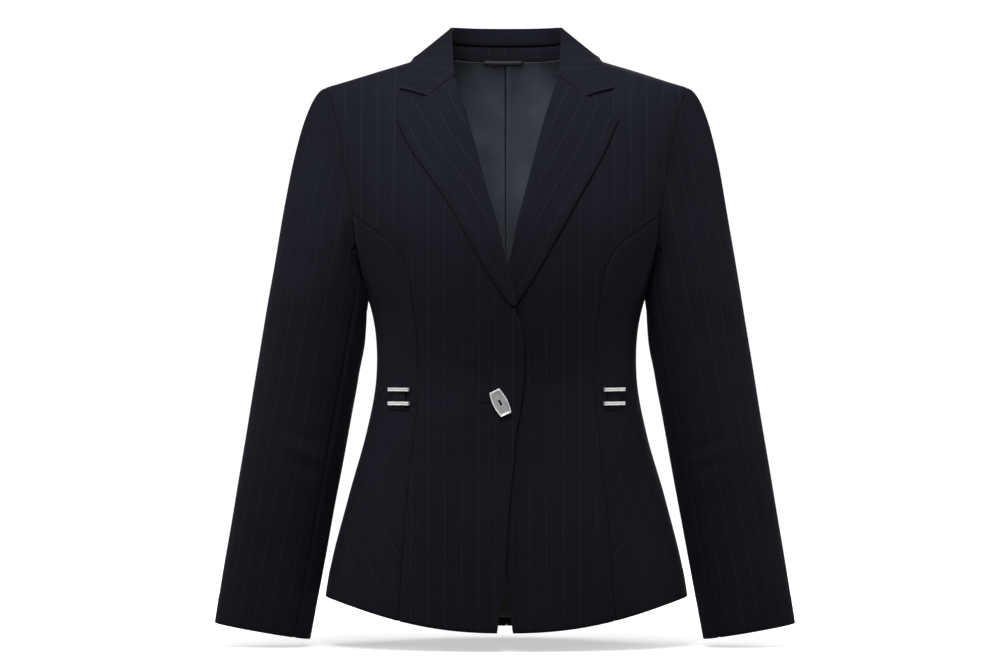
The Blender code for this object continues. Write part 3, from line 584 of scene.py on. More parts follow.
# On the sleeves: places are (distance down the arm, degrees round it from the outer side).
SLEEVE_FOLDS = (
    ("right", 0.0085, 0.0014, (0.15, 62), (0.163, 98), (0.168, 140)),
    ("left", 0.0085, 0.0012, (0.158, 66), (0.17, 100), (0.178, 142)),
    ("right left", 0.007, 0.001, (0.184, 74), (0.194, 108), (0.196, 146)),
    ("right", 0.011, 0.001, (0.012, 48), (0.048, 84), (0.09, 116)),
    ("left", 0.011, 0.0009, (0.0, 56), (0.04, 88), (0.082, 112)),
    ("right left", 0.01, 0.0007, (0.262, 60), (0.3, 92), (0.345, 108)),
    ("right left", 0.01, 0.0015, (0.142, 222), (0.158, 256), (0.166, 300)),
    ("right", 0.008, 0.0011, (0.176, 228), (0.188, 262), (0.192, 296)),
    ("right left", 0.012, 0.0012, (0.03, 300), (0.075, 270), (0.118, 244)),
    ("left", 0.011, 0.0009, (0.23, 250), (0.272, 278), (0.312, 292)),
    ("right left", 0.013, 0.0004, (0.06, 160), (0.078, 180), (0.092, 204))
)


def undulation(points: Array, wave: float, seed: int) -> Array:
    """Returns a smooth uneven pattern between about -1 and 1, the same each run.

    Args:
        points: where to read it.
        wave: the usual distance from crest to crest.
        seed: picks the pattern.

    Returns:
        A value for each point.
    """
    rng = np.random.default_rng(seed)
    total = np.zeros(points.shape[:-1])
    for _ in range(7):
        direction = unit(rng.normal(size=3)) * rng.uniform(0.7, 1.5) * 2 * np.pi / wave
        total += np.sin(points @ direction + rng.uniform(0, 2 * np.pi))
    return total / 3.5


@dataclass
class Relief:
    """How the folds and the unevenness of the cloth move the surface of a group of pieces."""

    folds: list  # (fold, chart) pairs
    wave: float = 0.13
    height: float = 0.0003
    still: dict = field(default_factory=dict)  # per side: points of the armhole, where nothing moves
    still_reach: float = 0.02

    def __call__(self, face: Array, normals: Array, side: Side) -> Array:
        """Adds up folds and unevenness.

        Args:
            face: a grid of points.
            normals: the outward direction at each point.
            side: which side of the body.

        Returns:
            How far each point of the grid moves outwards.
        """
        points, outward = face.reshape(-1, 3), normals.reshape(-1, 3)
        moved = self.height * undulation(points, self.wave, 40 + int(side))
        for fold, chart in self.folds:
            if side.word in fold.sides:
                moved += fold.relief(points, outward, fold.line(chart))
        if side in self.still:
            away = np.sqrt(((points[:, None] - self.still[side][None]) ** 2).sum(-1).min(axis=1))
            moved *= ease(away / self.still_reach)
            moved *= np.where(points[:, 1] > 0, ease(np.abs(points[:, 0]) / self.still_reach), 1)
        return moved.reshape(face.shape[:2])


# ---- cloth pieces


def rim_of(rows: int, columns: int) -> tuple[Array, Array]:
    """Goes round the edge of a grid.

    Args:
        rows: how many rows the grid has.
        columns: how many columns the grid has.

    Returns:
        The row and the column of each point on the edge, in order.
    """
    index = np.arange(rows * columns).reshape(rows, columns)
    rim = np.concatenate([index[0], index[1:, -1], index[-1, -2::-1], index[-2:0:-1, 0]])
    return np.unravel_index(rim, index.shape)


def cells(index: Array) -> Array:
    """Returns the four corners of each cell of a grid of point numbers."""
    return packed(index[:-1, :-1], index[:-1, 1:], index[1:, 1:], index[1:, :-1]).reshape(-1, 4)


def wall_faces(rows: int, columns: int) -> Array:
    """Joins an outer grid, an inner grid and one line of points round the rim.

    Args:
        rows: how many rows the grid has.
        columns: how many columns the grid has.

    Returns:
        The faces of the closed wall.
    """
    count = rows * columns
    index = np.arange(count).reshape(rows, columns)
    here = index[rim_of(rows, columns)]
    there = np.roll(here, -1)
    mid = 2 * count + np.arange(len(here))
    mid_next = np.roll(mid, -1)
    outside = packed(there, here, mid, mid_next)
    inside = packed(mid_next, mid, here + count, there + count)
    return np.concatenate([cells(index), cells(index)[:, ::-1] + count, outside, inside])


def loop_faces(loops: int, columns: int, closed: bool) -> Array:
    """Joins loops of points.

    Args:
        loops: how many loops there are.
        columns: how many points each loop has.
        closed: whether the last loop joins the first.

    Returns:
        The faces between the loops.
    """
    index = np.arange(loops * columns).reshape(loops, columns)
    index = np.concatenate([index, index[:1]]) if closed else index
    return cells(np.concatenate([index, index[:, :1]], axis=1))


def walled(outer: Array, inner: Array, rim: Array) -> Array:
    """Lays a wall's values in the order of its points.

    Args:
        outer: what the outer grid holds.
        inner: what the inner grid holds.
        rim: what the rim holds.

    Returns:
        The values, one row for each point.
    """
    return np.concatenate(
        [part.reshape(outer.shape[0] * outer.shape[1], -1) for part in (outer, inner)] + [rim]
    )


def make_piece(
    name: str, slot: str, finishes: Sequence, points: Array, faces: Array, uv: Array, crease: Array,
    slots: Array | None = None, replaced: str | None = None
) -> Object:
    """Makes a smooth piece of four-sided faces that point outwards, riding on the body.

    Args:
        name: the piece's name.
        slot: its material slot; not used.
        finishes: its materials.
        points: its points in space.
        faces: four point numbers each.
        uv: each point's place on the cloth in metres.
        crease: each point's closeness to a seam.
        slots: each face's finish, if there are several.
        replaced: the solid that it stands for.

    Returns:
        The object, linked to the scene.
    """
    corners = points[faces]
    crossed = np.cross(corners[:, 1], corners[:, 2]) + np.cross(corners[:, 2], corners[:, 3])
    if np.einsum("ij,ij->i", corners[:, 0], crossed).sum() < 0:
        faces = faces[:, ::-1]
    slots = np.zeros(len(faces)) if slots is None else slots
    mesh = bpy.data.meshes.new(name)
    mesh.vertices.add(len(points))
    mesh.vertices.foreach_set("co", points.astype(np.float32).ravel())
    mesh.loops.add(faces.size)
    mesh.loops.foreach_set("vertex_index", faces.astype(np.int32).ravel())
    mesh.polygons.add(len(faces))
    mesh.polygons.foreach_set("loop_start", np.arange(0, faces.size, 4, dtype=np.int32))
    mesh.polygons.foreach_set("material_index", slots.astype(np.int32))
    mesh.update(calc_edges=True)
    mesh.validate()
    layer = mesh.uv_layers.new(name="UVMap")
    loops = np.empty(len(mesh.loops), np.int32)
    mesh.loops.foreach_get("vertex_index", loops)
    layer.data.foreach_set("uv", uv[loops].astype(np.float32).ravel())
    attribute = mesh.attributes.new("crease", "FLOAT", "POINT")
    attribute.data.foreach_set("value", crease.astype(np.float32).ravel())
    mesh.shade_smooth()
    for finish in finishes:
        mesh.materials.append(finish)
    return on_body(linked(name, mesh), slot, replaced)


def linked(name: str, data: bpy.types.ID) -> Object:
    """Links a new object to the scene.

    Args:
        name: its name.
        data: what the object holds.

    Returns:
        The object.
    """
    obj = bpy.data.objects.new(name, data)
    bpy.context.scene.collection.objects.link(obj)
    return obj


def on_body(obj: Object, slot: str, replaced: str | None = None) -> Object:
    """Rides a piece on the body and hides the solid that it stands for.

    Args:
        obj: the piece.
        slot: its material slot; not used.
        replaced: the solid that it stands for, or None.

    Returns:
        The same object.
    """
    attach(obj, "root")
    if replaced:
        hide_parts(replaced)
    return obj


@dataclass
class Cloth:
    """One cut piece of cloth: a thin closed wall with rounded edges, over a grid on the left side."""

    name: str
    face: Array
    normals: Array
    uv: Array
    edges: dict
    finishes: tuple
    side: Side = Side.LEFT
    slot: str = "suiting"
    thick: float = SUITING
    replaced: str | None = ""  # the solid it stands for, where its own name doesn't say
    relief: Array | float = 0.0
    inner_slot: Array | None = None  # per point of the grid: which of the finishes the inside has
    inner_face: Array | None = None
    fades: dict = field(default_factory=dict)  # per edge: how deep its seam is along it, 0 to 1
    shades: dict = field(default_factory=dict)  # per edge: how much painted shade its seam gets along it, 0 to 1
    pressed: Array | float = 0.0  # painted shade along lines, such as the lining's pleat and top edge, 0 to 1
    seam_dip: float = 0.00085
    seam_wide: float = 0.0016
    shade_wide: float = 0.0018
    puff: float = 0.0003
    puff_at: tuple = (0.0055, 0.0035)  # from the seam, half width
    hem_allowance: float = 0.032
    hem_step: float = 0.00025
    free_dip: tuple = (0.0004, 0.0012)  # depth, half width

    def edge_distance(self, edge: Edge) -> Array:
        """Measures over the cloth from an edge.

        Args:
            edge: the edge.

        Returns:
            Each point's distance from it.
        """
        axis = 0 if edge in (Edge.BOTTOM, Edge.TOP) else 1
        run = runs(self.face, axis)
        return run if edge in (Edge.BOTTOM, Edge.START) else np.take(run, [-1], axis=axis) - run

    def sewn_relief(self) -> tuple[Array, Array]:
        """Shapes the cloth at its seams and hems.

        Returns:
            How far each point moves out, and how much painted shade it gets at its seams and pressed lines,
            0 to 1.
        """
        moved, crease = np.zeros(self.face.shape[:2]), np.zeros(self.face.shape[:2])
        uneven = 1 + 0.35 * undulation(self.face, 0.035, 3)
        for edge, kind in self.edges.items():
            away, share = self.edge_distance(edge), self.fades.get(edge, 1.0)
            if kind is Sewn.SEAM:
                moved -= self.seam_dip * bell(away / self.seam_wide) * uneven * share
                moved += self.puff * bell((away - self.puff_at[0]) / self.puff_at[1]) * uneven * share
                # painted shade along the seam, where its dip lies in shade
                crease = np.maximum(crease, bell(away / self.shade_wide) * self.shades.get(edge, share))
            elif kind is Sewn.HEM:
                moved += self.hem_step * ease((self.hem_allowance - away) / 0.004) * uneven
            else:
                moved -= self.free_dip[0] * bell(away / self.free_dip[1])
        return moved, np.maximum(crease, self.pressed)

    def build(self) -> Object:
        """Makes the object.

        Returns:
            The object, which rides on the body.
        """
        moved, crease = self.sewn_relief()
        offset = (moved + self.relief)[..., None] * self.normals
        inner = self.face - self.thick * self.normals if self.inner_face is None else self.inner_face
        outer, inner = self.pulled(self.face + offset), self.pulled(inner + offset)
        shape = outer.shape[:2]
        rim = rim_of(*shape)
        points = walled(outer, inner, self.rounded_rim(outer, inner, *rim)) * self.side.flip
        faces = wall_faces(*shape)
        slots = np.zeros(len(faces))
        if self.inner_slot is not None:
            quads = (shape[0] - 1) * (shape[1] - 1)
            slots[quads : 2 * quads] = self.inner_slot[:-1, :-1].ravel()
        replaced = self.name.rsplit("_", 1)[0] if self.replaced == "" else self.replaced
        uv, crease = walled(self.uv, self.uv, self.uv[rim]), walled(
            crease, 0 * crease, crease[rim][:, None]
        )
        return make_piece(self.name, self.slot, self.finishes, points, faces, uv, crease, slots, replaced)

    def pulled(self, grid: Array) -> Array:
        """Leaves half the gap of a seam at each seamed edge.

        Args:
            grid: a grid of points.

        Returns:
            The grid with its seamed edges moved in.
        """
        grid = grid.copy()
        for edge, kind in self.edges.items():
            if kind is Sewn.SEAM:
                rows = grid if edge in (Edge.BOTTOM, Edge.TOP) else grid.transpose(1, 0, 2)
                first, second = (0, 1) if edge in (Edge.BOTTOM, Edge.START) else (-1, -2)
                rows[first] += SEAM_GAP / 2 * unit(rows[second] - rows[first])
        return grid

    def rounded_rim(self, outer: Array, inner: Array, rows: Array, columns: Array) -> Array:
        """Closes the wall's edge, bowed out where the edge is free.

        Args:
            outer: the grid of outer points.
            inner: the grid of inner points.
            rows: the row of each point on the edge.
            columns: the column of each point on the edge.

        Returns:
            A line of points round the edge.
        """
        last_row, last_column = outer.shape[0] - 1, outer.shape[1] - 1
        inside = outer[np.clip(rows, 1, last_row - 1), np.clip(columns, 1, last_column - 1)]
        bow = np.full(len(rows), 0.35 * self.thick)
        for edge, at in zip(Edge, (rows == 0, rows == last_row, columns == 0, columns == last_column)):
            if self.edges[edge] is Sewn.SEAM:
                bow[at] = 0
        middle = (outer[rows, columns] + inner[rows, columns]) / 2
        return middle + bow[:, None] * unit(outer[rows, columns] - inside)

    def declare(
        self, obj: Object, held: str = "hung", rests_on: Sequence[str] = (), with_pieces: Sequence = ()
    ) -> None:
        """Args:
            obj: the piece; not used.
            held: how it is held; not used.
            rests_on: the names of what it lies on.
            with_pieces: narrow pieces sewn to it; not used.
        """
        wide, long = float(runs(self.face, 1)[:, -1].max()), float(runs(self.face, 0)[-1].max())
        low, high = self.face[:-1], self.face[1:]
        halves = np.cross(high[:, :-1] - low[:, :-1], low[:, 1:] - low[:, :-1])
        others = np.cross(high[:, :-1] - high[:, 1:], low[:, 1:] - high[:, 1:])
        area = float((np.linalg.norm(halves, axis=2).sum() + np.linalg.norm(others, axis=2).sum()) / 2)
        area = min(max(area, 0.3 * wide * long), wide * long)
        list(rests_on)
        log.info("%s: cut %.0f x %.0f mm, %.0f cm2", self.name, wide * 1e3, long * 1e3, area * 1e4)


# ---- finishes


class Nodes:
    """A node tree with short calls for adding and linking nodes."""

    def __init__(self, tree: bpy.types.NodeTree) -> None:
        """Takes the tree."""
        self.tree = tree

    def node(self, kind: str, inputs: dict | None = None, **settings: object) -> bpy.types.Node:
        """Adds a node.

        Args:
            kind: its type.
            inputs: values or sockets for its inputs, by name or number.
            settings: its own settings.

        Returns:
            The node.
        """
        made = self.tree.nodes.new(kind)
        for key, value in settings.items():
            setattr(made, key, value)
        for key, value in (inputs or {}).items():
            self.feed(made.inputs[key], value)
        return made

    def feed(self, socket: Socket, value: object) -> None:
        """Links a socket to an input, or sets its value.

        Args:
            socket: the input.
            value: a socket or a plain value.
        """
        if isinstance(value, Socket):
            self.tree.links.new(value, socket)
        else:
            socket.default_value = value

    def math(self, operation: str, *values: object) -> Socket:
        """Adds a Math node and returns its output."""
        return self.node("ShaderNodeMath", dict(enumerate(values)), operation=operation).outputs[0]


class Board(Nodes):
    """A material's node tree."""

    def __init__(self, name: str) -> None:
        """Makes a new material with a Principled shader.

        Args:
            name: the material's name.
        """
        self.material = bpy.data.materials.new(name)
        self.material.use_nodes = True
        super().__init__(self.material.node_tree)

    def noise(self, vector: Socket, scale: float, detail: float = 2.0, rough: float = 0.5) -> Socket:
        """Adds a noise texture and returns its value's socket."""
        inputs = {"Vector": vector, "Scale": scale, "Detail": detail, "Roughness": rough}
        return self.node("ShaderNodeTexNoise", inputs).outputs[0]

    def blend(self, share: object, first: object, second: object) -> Socket:
        """Mixes two colours and returns the result's socket."""
        return self.node("ShaderNodeMix", {0: share, 6: first, 7: second}, data_type="RGBA").outputs[2]

    def remap(self, value: Socket, low: float, high: float, to_low: float, to_high: float) -> Socket:
        """Maps a range of values smoothly onto another and returns the socket."""
        inputs = {"Value": value, 1: low, 2: high, 3: to_low, 4: to_high}
        return self.node("ShaderNodeMapRange", inputs, interpolation_type="SMOOTHSTEP").outputs[0]

    def total(self, *parts: tuple) -> Socket:
        """Adds up sockets, each scaled, and returns the sum's socket.

        Returns:
            The sum's socket.
        """
        scaled = [self.math("MULTIPLY", socket, scale) for socket, scale in parts]
        while len(scaled) > 1:
            scaled[:2] = [self.math("ADD", *scaled[:2])]
        return scaled[0]

    def tinted(self, tone: Socket, low: float, dark: Colour, light: Colour) -> Socket:
        """Returns a colour that goes from dark to light as the tone goes from low to as far past a half."""
        return self.blend(self.remap(tone, low, 1 - low, 0.0, 1.0), dark, light)

    def uv(self, across: float = 1.0, along: float = 1.0, turn_deg: float = 0.0) -> Socket:
        """Turns and stretches the cloth's own coordinates.

        Args:
            across: the scale across the cloth.
            along: the scale along the cloth.
            turn_deg: how far they are turned, in degrees.

        Returns:
            The coordinates' socket.
        """
        source = self.node("ShaderNodeUVMap", uv_map="UVMap").outputs[0]
        turn = (0.0, 0.0, math.radians(turn_deg))
        inputs = {"Vector": source, "Rotation": turn, "Scale": (across, along, 1.0)}
        return self.node("ShaderNodeMapping", inputs).outputs[0]

    def place(self) -> Socket:
        """Returns the coordinates of the object."""
        return self.node("ShaderNodeTexCoord").outputs["Object"]

    def axis(self, vector: Socket, number: int) -> Socket:
        """Returns one coordinate of a vector."""
        return self.node("ShaderNodeSeparateXYZ", {0: vector}).outputs[number]

    def crease(self) -> Socket:
        """Returns the closeness to a seam."""
        return self.node("ShaderNodeAttribute", attribute_name="crease").outputs["Fac"]

    def done(
        self, inputs: dict, height: Socket | None = None, strength: float = 0.0, distance: float = 0.0
    ) -> Material:
        """Feeds the shader.

        Args:
            inputs: the shader's inputs by name.
            height: a relief, if there is one.
            strength: how much of it shows.
            distance: how high it is.

        Returns:
            The material.
        """
        if height is not None:
            bump = {"Height": height, "Strength": strength, "Distance": distance}
            inputs = {**inputs, "Normal": self.node("ShaderNodeBump", bump).outputs[0]}
        for name, value in inputs.items():
            self.feed(self.tree.nodes["Principled BSDF"].inputs[name], value)
        return self.material


def grey(level: float, red: float = 1.0, blue: float = 1.0) -> Colour:
    """Returns a grey with its red and blue scaled."""
    return (level * red, level, level * blue, 1.0)


@dataclass(frozen=True)
class Suiting:
    """Dark worsted suiting with a faint pinstripe along the warp and a twill weave."""

    name: str = "suiting"
    dark: Colour = grey(0.0084, 0.97, 1.5)
    light: Colour = grey(0.0132, 0.97, 1.5)
    stripe: Colour = grey(0.025, 0.97, 1.4)
    # painted shade: the colour the cloth is darkened towards near its seams, standing in for the shade in
    # their dips
    seam: Colour = (0.0035, 0.0035, 0.0045, 1.0)
    tint: Colour = (0.55, 0.58, 0.72, 1.0)
    pitch: float = 0.0183
    stripe_wide: float = 0.0011
    stripe_strength: float = 0.5
    yarn: float = 0.0007
    twill_deg: float = 38.0
    sheen: float = 0.035

    def material(self) -> Material:
        """Builds the node material.

        Returns:
            The material.
        """
        board = Board(self.name)
        place = board.math("FRACT", board.math("MULTIPLY", board.axis(board.uv(), 0), 1 / self.pitch))
        away = board.math("ABSOLUTE", board.math("SUBTRACT", place, 0.5))
        half = self.stripe_wide / self.pitch / 2
        line = board.remap(away, half * 0.5, half * 1.5, 1.0, 0.0)
        yarns = board.noise(board.uv(3.0, 1.0), 420.0, 2.0, 0.6)
        broken = board.math("MULTIPLY", line, board.remap(yarns, 0.3, 0.62, 0.35, 1.0))
        streaks = board.noise(board.uv(1.0, 0.012), 900.0, 2.0, 0.7)
        wave = {"Vector": board.uv(1.0, 1.0, self.twill_deg), "Distortion": 1.2, "Detail": 1.0}
        wave["Scale"] = 1 / (self.yarn * 2 * math.pi) * 0.9
        ribs = board.node("ShaderNodeTexWave", wave, wave_type="BANDS").outputs["Fac"]
        melange = board.noise(board.uv(1.0, 0.35), 1500.0, 3.0, 0.7)
        soft = board.noise(board.place(), 9.0, 3.0, 0.55)
        tone = board.total((melange, 0.35), (streaks, 0.35), (soft, 0.3))
        ground = board.tinted(tone, 0.36, self.dark, self.light)
        striped = board.blend(board.math("MULTIPLY", broken, self.stripe_strength), ground, self.stripe)
        # the base colour is darkened towards the seam colour along the crease attribute: painted seam shade
        inputs = {
            "Base Color": board.blend(board.remap(board.crease(), 0.1, 1.0, 0.0, 0.55), striped, self.seam),
            "Roughness": board.remap(melange, 0.3, 0.7, 0.72, 0.9), "Specular IOR Level": 0.05,
            "Sheen Weight": self.sheen, "Sheen Roughness": 0.45, "Sheen Tint": self.tint
        }
        return board.done(inputs, board.total((ribs, 0.6), (melange, 0.5)), 0.35, 0.00018)


@dataclass(frozen=True)
class Satin:
    """Grey-blue lining satin with fine crosswise floats, with painted shade: darker towards the bottom and
    along its pressed lines.
    """

    name: str = "satin"
    dark: Colour = grey(0.074, 0.9, 1.27)
    light: Colour = grey(0.123, 0.9, 1.28)
    # painted shade: between these heights the satin darkens towards the bottom, standing in for the dim
    # inside of the blazer
    deep_heights: tuple = (-0.27, -0.05)
    gloss: float = 0.2
    sheen: float = 0.03

    def material(self) -> Material:
        """Builds the node material.

        Returns:
            The material.
        """
        board = Board(self.name)
        floats = board.noise(board.uv(70.0, 3200.0), 1.0, 2.0, 0.6)
        soft = board.noise(board.place(), 16.0, 3.0, 0.5)
        ground = board.tinted(board.total((floats, 0.2), (soft, 0.8)), 0.36, self.dark, self.light)
        # painted shade: towards the bottom and along pressed lines the satin is darkened towards near black
        deep = board.remap(board.axis(board.place(), 2), *self.deep_heights, 0.9, 0.0)
        shade = board.math("MAXIMUM", board.remap(board.crease(), 0.1, 1.0, 0.0, 0.9), deep)
        inputs = {
            "Base Color": board.blend(shade, ground, grey(0.003)),
            "Roughness": board.remap(floats, 0.3, 0.7, 0.34, 0.46), "Specular IOR Level": self.gloss,
            "Sheen Weight": self.sheen, "Anisotropic": 0.4
        }
        return board.done(inputs, floats, 0.08, 0.00008)


@dataclass(frozen=True)
class BrushedMetal:
    """Nickel brushed along the piece, a little brighter where its edges are rubbed."""

    name: str = "brushed_metal"
    dark: Colour = (0.56, 0.56, 0.56, 1.0)
    light: Colour = (0.76, 0.76, 0.75, 1.0)
    worn: Colour = (0.96, 0.96, 0.96, 1.0)
    streak: float = 0.3

    def material(self) -> Material:
        """Builds the node material.

        Returns:
            The material.
        """
        board = Board(self.name)
        streaks = board.noise(board.uv(180.0, 3200.0), 1.0, 3.0, 0.7)
        cloud = board.noise(board.place(), 240.0, 3.0, 0.6)
        ground = board.tinted(board.total((streaks, 0.55), (cloud, 0.45)), 0.34, self.dark, self.light)
        inputs = {
            "Base Color": board.blend(board.remap(board.crease(), 0.2, 1.0, 0.0, 1.0), ground, self.worn),
            "Metallic": 1.0, "Roughness": board.remap(streaks, 0.25, 0.75, 0.4, 0.54), "Anisotropic": 0.3
        }
        return board.done(inputs, streaks, self.streak, 0.00004)


@dataclass(frozen=True)
class Thread:
    """Twisted sewing thread."""

    name: str
    colour: Colour

    def material(self) -> Material:
        """Builds the node material.

        Returns:
            The material.
        """
        board = Board(self.name)
        twist = board.noise(board.place(), 2600.0, 2.0, 0.6)
        lighter = tuple(min(1.0, c * 1.7) for c in self.colour[:3]) + (1.0,)
        inputs = {"Base Color": board.blend(twist, self.colour, lighter), "Roughness": 0.75}
        return board.done({**inputs, "Sheen Weight": 0.02, "Specular IOR Level": 0.1}, twist, 0.3, 0.00008)


BUTTON_COLOURS = ((0.58, 0.58, 0.59, 1.0), (0.78, 0.78, 0.79, 1.0), (0.95, 0.95, 0.96, 1.0))
LOOP_COLOURS = (grey(0.024, 0.94, 1.1), grey(0.037, 0.94, 1.1))


class Finishes:
    """The blazer's materials, one of each."""

    def __init__(self) -> None:
        """Builds them."""
        self.suiting = Suiting().material()
        self.satin = Satin().material()
        self.bars = BrushedMetal().material()
        self.button = BrushedMetal("button_metal", *BUTTON_COLOURS, streak=0.6).material()
        self.loop = Satin("loop_satin", *LOOP_COLOURS, gloss=0.1).material()
        self.thread = Thread("dark_thread", grey(0.0085, 0.97, 1.4)).material()
        self.pale_thread = Thread("lining_thread", grey(0.08, 0.92, 1.2)).material()
        # painted shade: a near-black thread material for the buttonhole's cut, standing in for the shade
        # inside the slit
        self.black = Thread("slit", grey(0.002)).material()
        self.lined = (self.suiting, self.satin)


# ---- fronts, sides and backs


@dataclass
class Body:
    """The two fronts, the two side panels and the two backs."""

    finishes: Finishes
    # height, right front, left front: the edge below the roll
    front_edges: Table = (
        (-0.62, 0.0103, 0.007), (-0.582, 0.007, 0.0035), (-0.545, 0.0017, -0.0012),
        (-0.49, -0.002, -0.0035), (-0.456, -0.0055, -0.007), (-0.41, -0.0091, -0.01),
        (-0.384, -0.0137, -0.014), (-0.345, -0.018, -0.0175), (-0.318, -0.0182, -0.0175),
        (-0.295, -0.0165, -0.016), (-0.263, -0.0101, -0.0085), (-0.214, 0.0015, 0.0045),
        (-0.179, 0.01, 0.0115), (-0.144, 0.0205, 0.0205), (-0.09, 0.0353, 0.0345), (-0.028, 0.053, 0.053),
        (-0.021, 0.0555, 0.0555)
    )
    break_height: dict = field(default_factory=lambda: {Side.RIGHT: -0.272, Side.LEFT: -0.296})
    roll_start: float = 0.03
    neck_edge: Table = ((-0.021, 0.059), (0.0103, 0.072))
    princess_table: Table = (
        (-0.62, 0.117), (-0.586, 0.115), (-0.457, 0.1053), (-0.421, 0.1011), (-0.367, 0.0958),
        (-0.316, 0.0957), (-0.265, 0.1008), (-0.23, 0.1073), (-0.205, 0.1215), (-0.1695, 0.167)
    )
    side_back_table: Table = (
        (-0.628, 0.114), (-0.56, 0.109), (-0.46, 0.096), (-0.36, 0.081), (-0.28, 0.086), (-0.22, 0.105),
        (-0.175, 0.135), (-0.13, 0.174)
    )
    armhole_table: Table = ((-0.1695, 0.167), (-0.13, 0.174), (-0.065, 0.1865), (-0.0285, 0.1985))
    underarm: float = -0.246
    lower_rows: int = 110
    upper_rows: int = 46
    front_columns: int = 60
    side_columns: int = 48
    back_columns: tuple = (26, 36)
    stripe_phase: dict = field(default_factory=lambda: {Side.RIGHT: 0.0116, Side.LEFT: 0.0064})
    bias_deg: float = 54.0
    facing_wide: float = 0.075
    turned_up: float = 0.03
    armhole_dip: float = 0.25
    seam_shade: float = 0.45

    def __post_init__(self) -> None:
        """Makes the smooth functions of the tables."""
        self.front_edge = dict(zip(Side, profiles(self.front_edges)))
        self.princess = Profile(self.princess_table)
        self.side_back = Profile(self.side_back_table)
        self.armhole = Profile(self.armhole_table)
        self.front_top, self.back_top = self.princess_table[-1][0], self.side_back_table[-1][0]
        self.front_hem = FORM.seam_hem(self.princess, Facing.FRONT)
        self.back_hem = FORM.seam_hem(self.side_back, Facing.BACK)

    def front_inner(self, side: Side, z: Array) -> Array:
        """Follows the front's edge: free below the break, then under the roll, then under the collar.

        Args:
            side: which side of the body.
            z: heights.

        Returns:
            The edge's distance from the centre line at each height.
        """
        (low, low_x), (high, high_x) = self.neck_edge
        neck = mix(low_x, high_x, np.clip((z - low) / (high - low), 0, 1))
        under_roll = ease((z - self.break_height[side] + self.roll_start) / self.roll_start) * ROLL_RADIUS
        return np.where(z >= low, neck, self.front_edge[side](z) + under_roll)

    def outer_edge(self, seam: Profile, top: float) -> Callable:
        """Returns a function for a panel's outer edge: its seam, and above the seam's top the armhole."""
        return lambda z: np.where(z <= top, seam(z), self.armhole(z))

    def panel(
        self, facing: Facing, columns: Array, inner_edge: Callable, seam: Profile, ends: tuple
    ) -> tuple:
        """Returns the x and z of a front's or back's grid, from the hem to the shoulder.

        Args:
            facing: front or back.
            columns: shares of the width, from the inner edge to the outer one.
            inner_edge: the distance of the centre edge at a height.
            seam: the distance of the outer seam at a height.
            ends: the heights at which the seam meets the hem and the armhole.

        Returns:
            The grid's x and z.
        """
        hem, seam_end = ends
        outer_edge = self.outer_edge(seam, seam_end)
        inner_low = inner_edge(np.array(FORM.hem_side_height - FORM.hem_drops[0]))
        hems = FORM.hem_at(mix(inner_low, outer_edge(np.array(hem)), columns), facing)
        hems[-1] = hem
        tops = FORM.panel_top(mix(inner_edge(np.array(1.0)), FORM.shoulder_half, columns), facing)
        reach = (seam_end - hem) / (tops[-1] - hem)
        lower = reach * np.arange(self.lower_rows) / self.lower_rows
        turn = np.sin(np.pi / 2 * np.arange(self.upper_rows + 1) / self.upper_rows)
        shares = np.concatenate([lower, mix(reach, 1, turn)])[:, None]
        inner_x = inner_edge(mix(hems[0], tops[0], shares))
        outer_x = outer_edge(mix(hems[-1], tops[-1], shares))
        return mix(inner_x, outer_x, columns[None]), mix(hems[None], tops[None], shares)

    def front_grid(self, side: Side) -> tuple[Array, Array]:
        """Lays out a front.

        Args:
            side: which side of the body.

        Returns:
            The outer points and the normals.
        """
        edge, ends = lambda height: self.front_inner(side, height), (self.front_hem, self.front_top)
        x, z = self.panel(Facing.FRONT, crowded(self.front_columns), edge, self.princess, ends)
        normals = FORM.normal(x, z, Facing.FRONT)
        return FORM.point(x, z, Facing.FRONT) + FORM.lap(side, x, z)[..., None] * normals, normals

    def back_grid(self) -> tuple[Array, Array]:
        """Lays out a back.

        Returns:
            The outer points and the normals.
        """
        neck = FORM.neck_half / FORM.shoulder_half
        inside, outside = self.back_columns
        near = neck * np.sin(np.pi / 2 * np.arange(inside) / inside)
        shares = np.concatenate([near, mix(neck, 1, crowded(outside, 0.5))])
        ends = (self.back_hem, self.back_top)
        x, z = self.panel(
            Facing.BACK, shares, lambda height: 0.0 * np.asarray(height), self.side_back, ends
        )
        return FORM.point(x, z, Facing.BACK), FORM.normal(x, z, Facing.BACK)

    def side_grid(self) -> tuple[Array, Array]:
        """Lays out a side panel, from the front seam round to the back one.

        Returns:
            The outer points and the normals.
        """
        share = (np.arange(self.lower_rows + 1) / self.lower_rows)[:, None]
        u = crowded(self.side_columns)[None]
        front_z, back_z = mix(
            self.front_hem, self.front_top, share
        ), mix(self.back_hem, self.back_top, share)
        front_angle = FORM.angle(self.princess(front_z), front_z)
        back_angle = FORM.angle(self.side_back(back_z), back_z)
        angle = mix(front_angle, -back_angle, u)
        hem_angle, top_angle = angle[:1], angle[-1:]
        ahead = top_angle > 0
        end, top = np.where(
            ahead, front_angle[-1], back_angle[-1]
        ), np.where(ahead, self.front_top, self.back_top)
        arm = mix(self.underarm, top, (np.abs(top_angle) / end) ** 2)
        z = mix(FORM.hem(np.abs(hem_angle), facing_of(-hem_angle)), arm, share)
        facing = np.where(angle > 0, -1, 1)
        x = FORM.across(angle, z)
        x[:, 0], x[:, -1] = self.princess(front_z)[:, 0], self.side_back(back_z)[:, 0]
        z[:, 0], z[:, -1] = front_z[:, 0], back_z[:, 0]
        return FORM.point(x, z, facing), FORM.normal(x, z, facing)

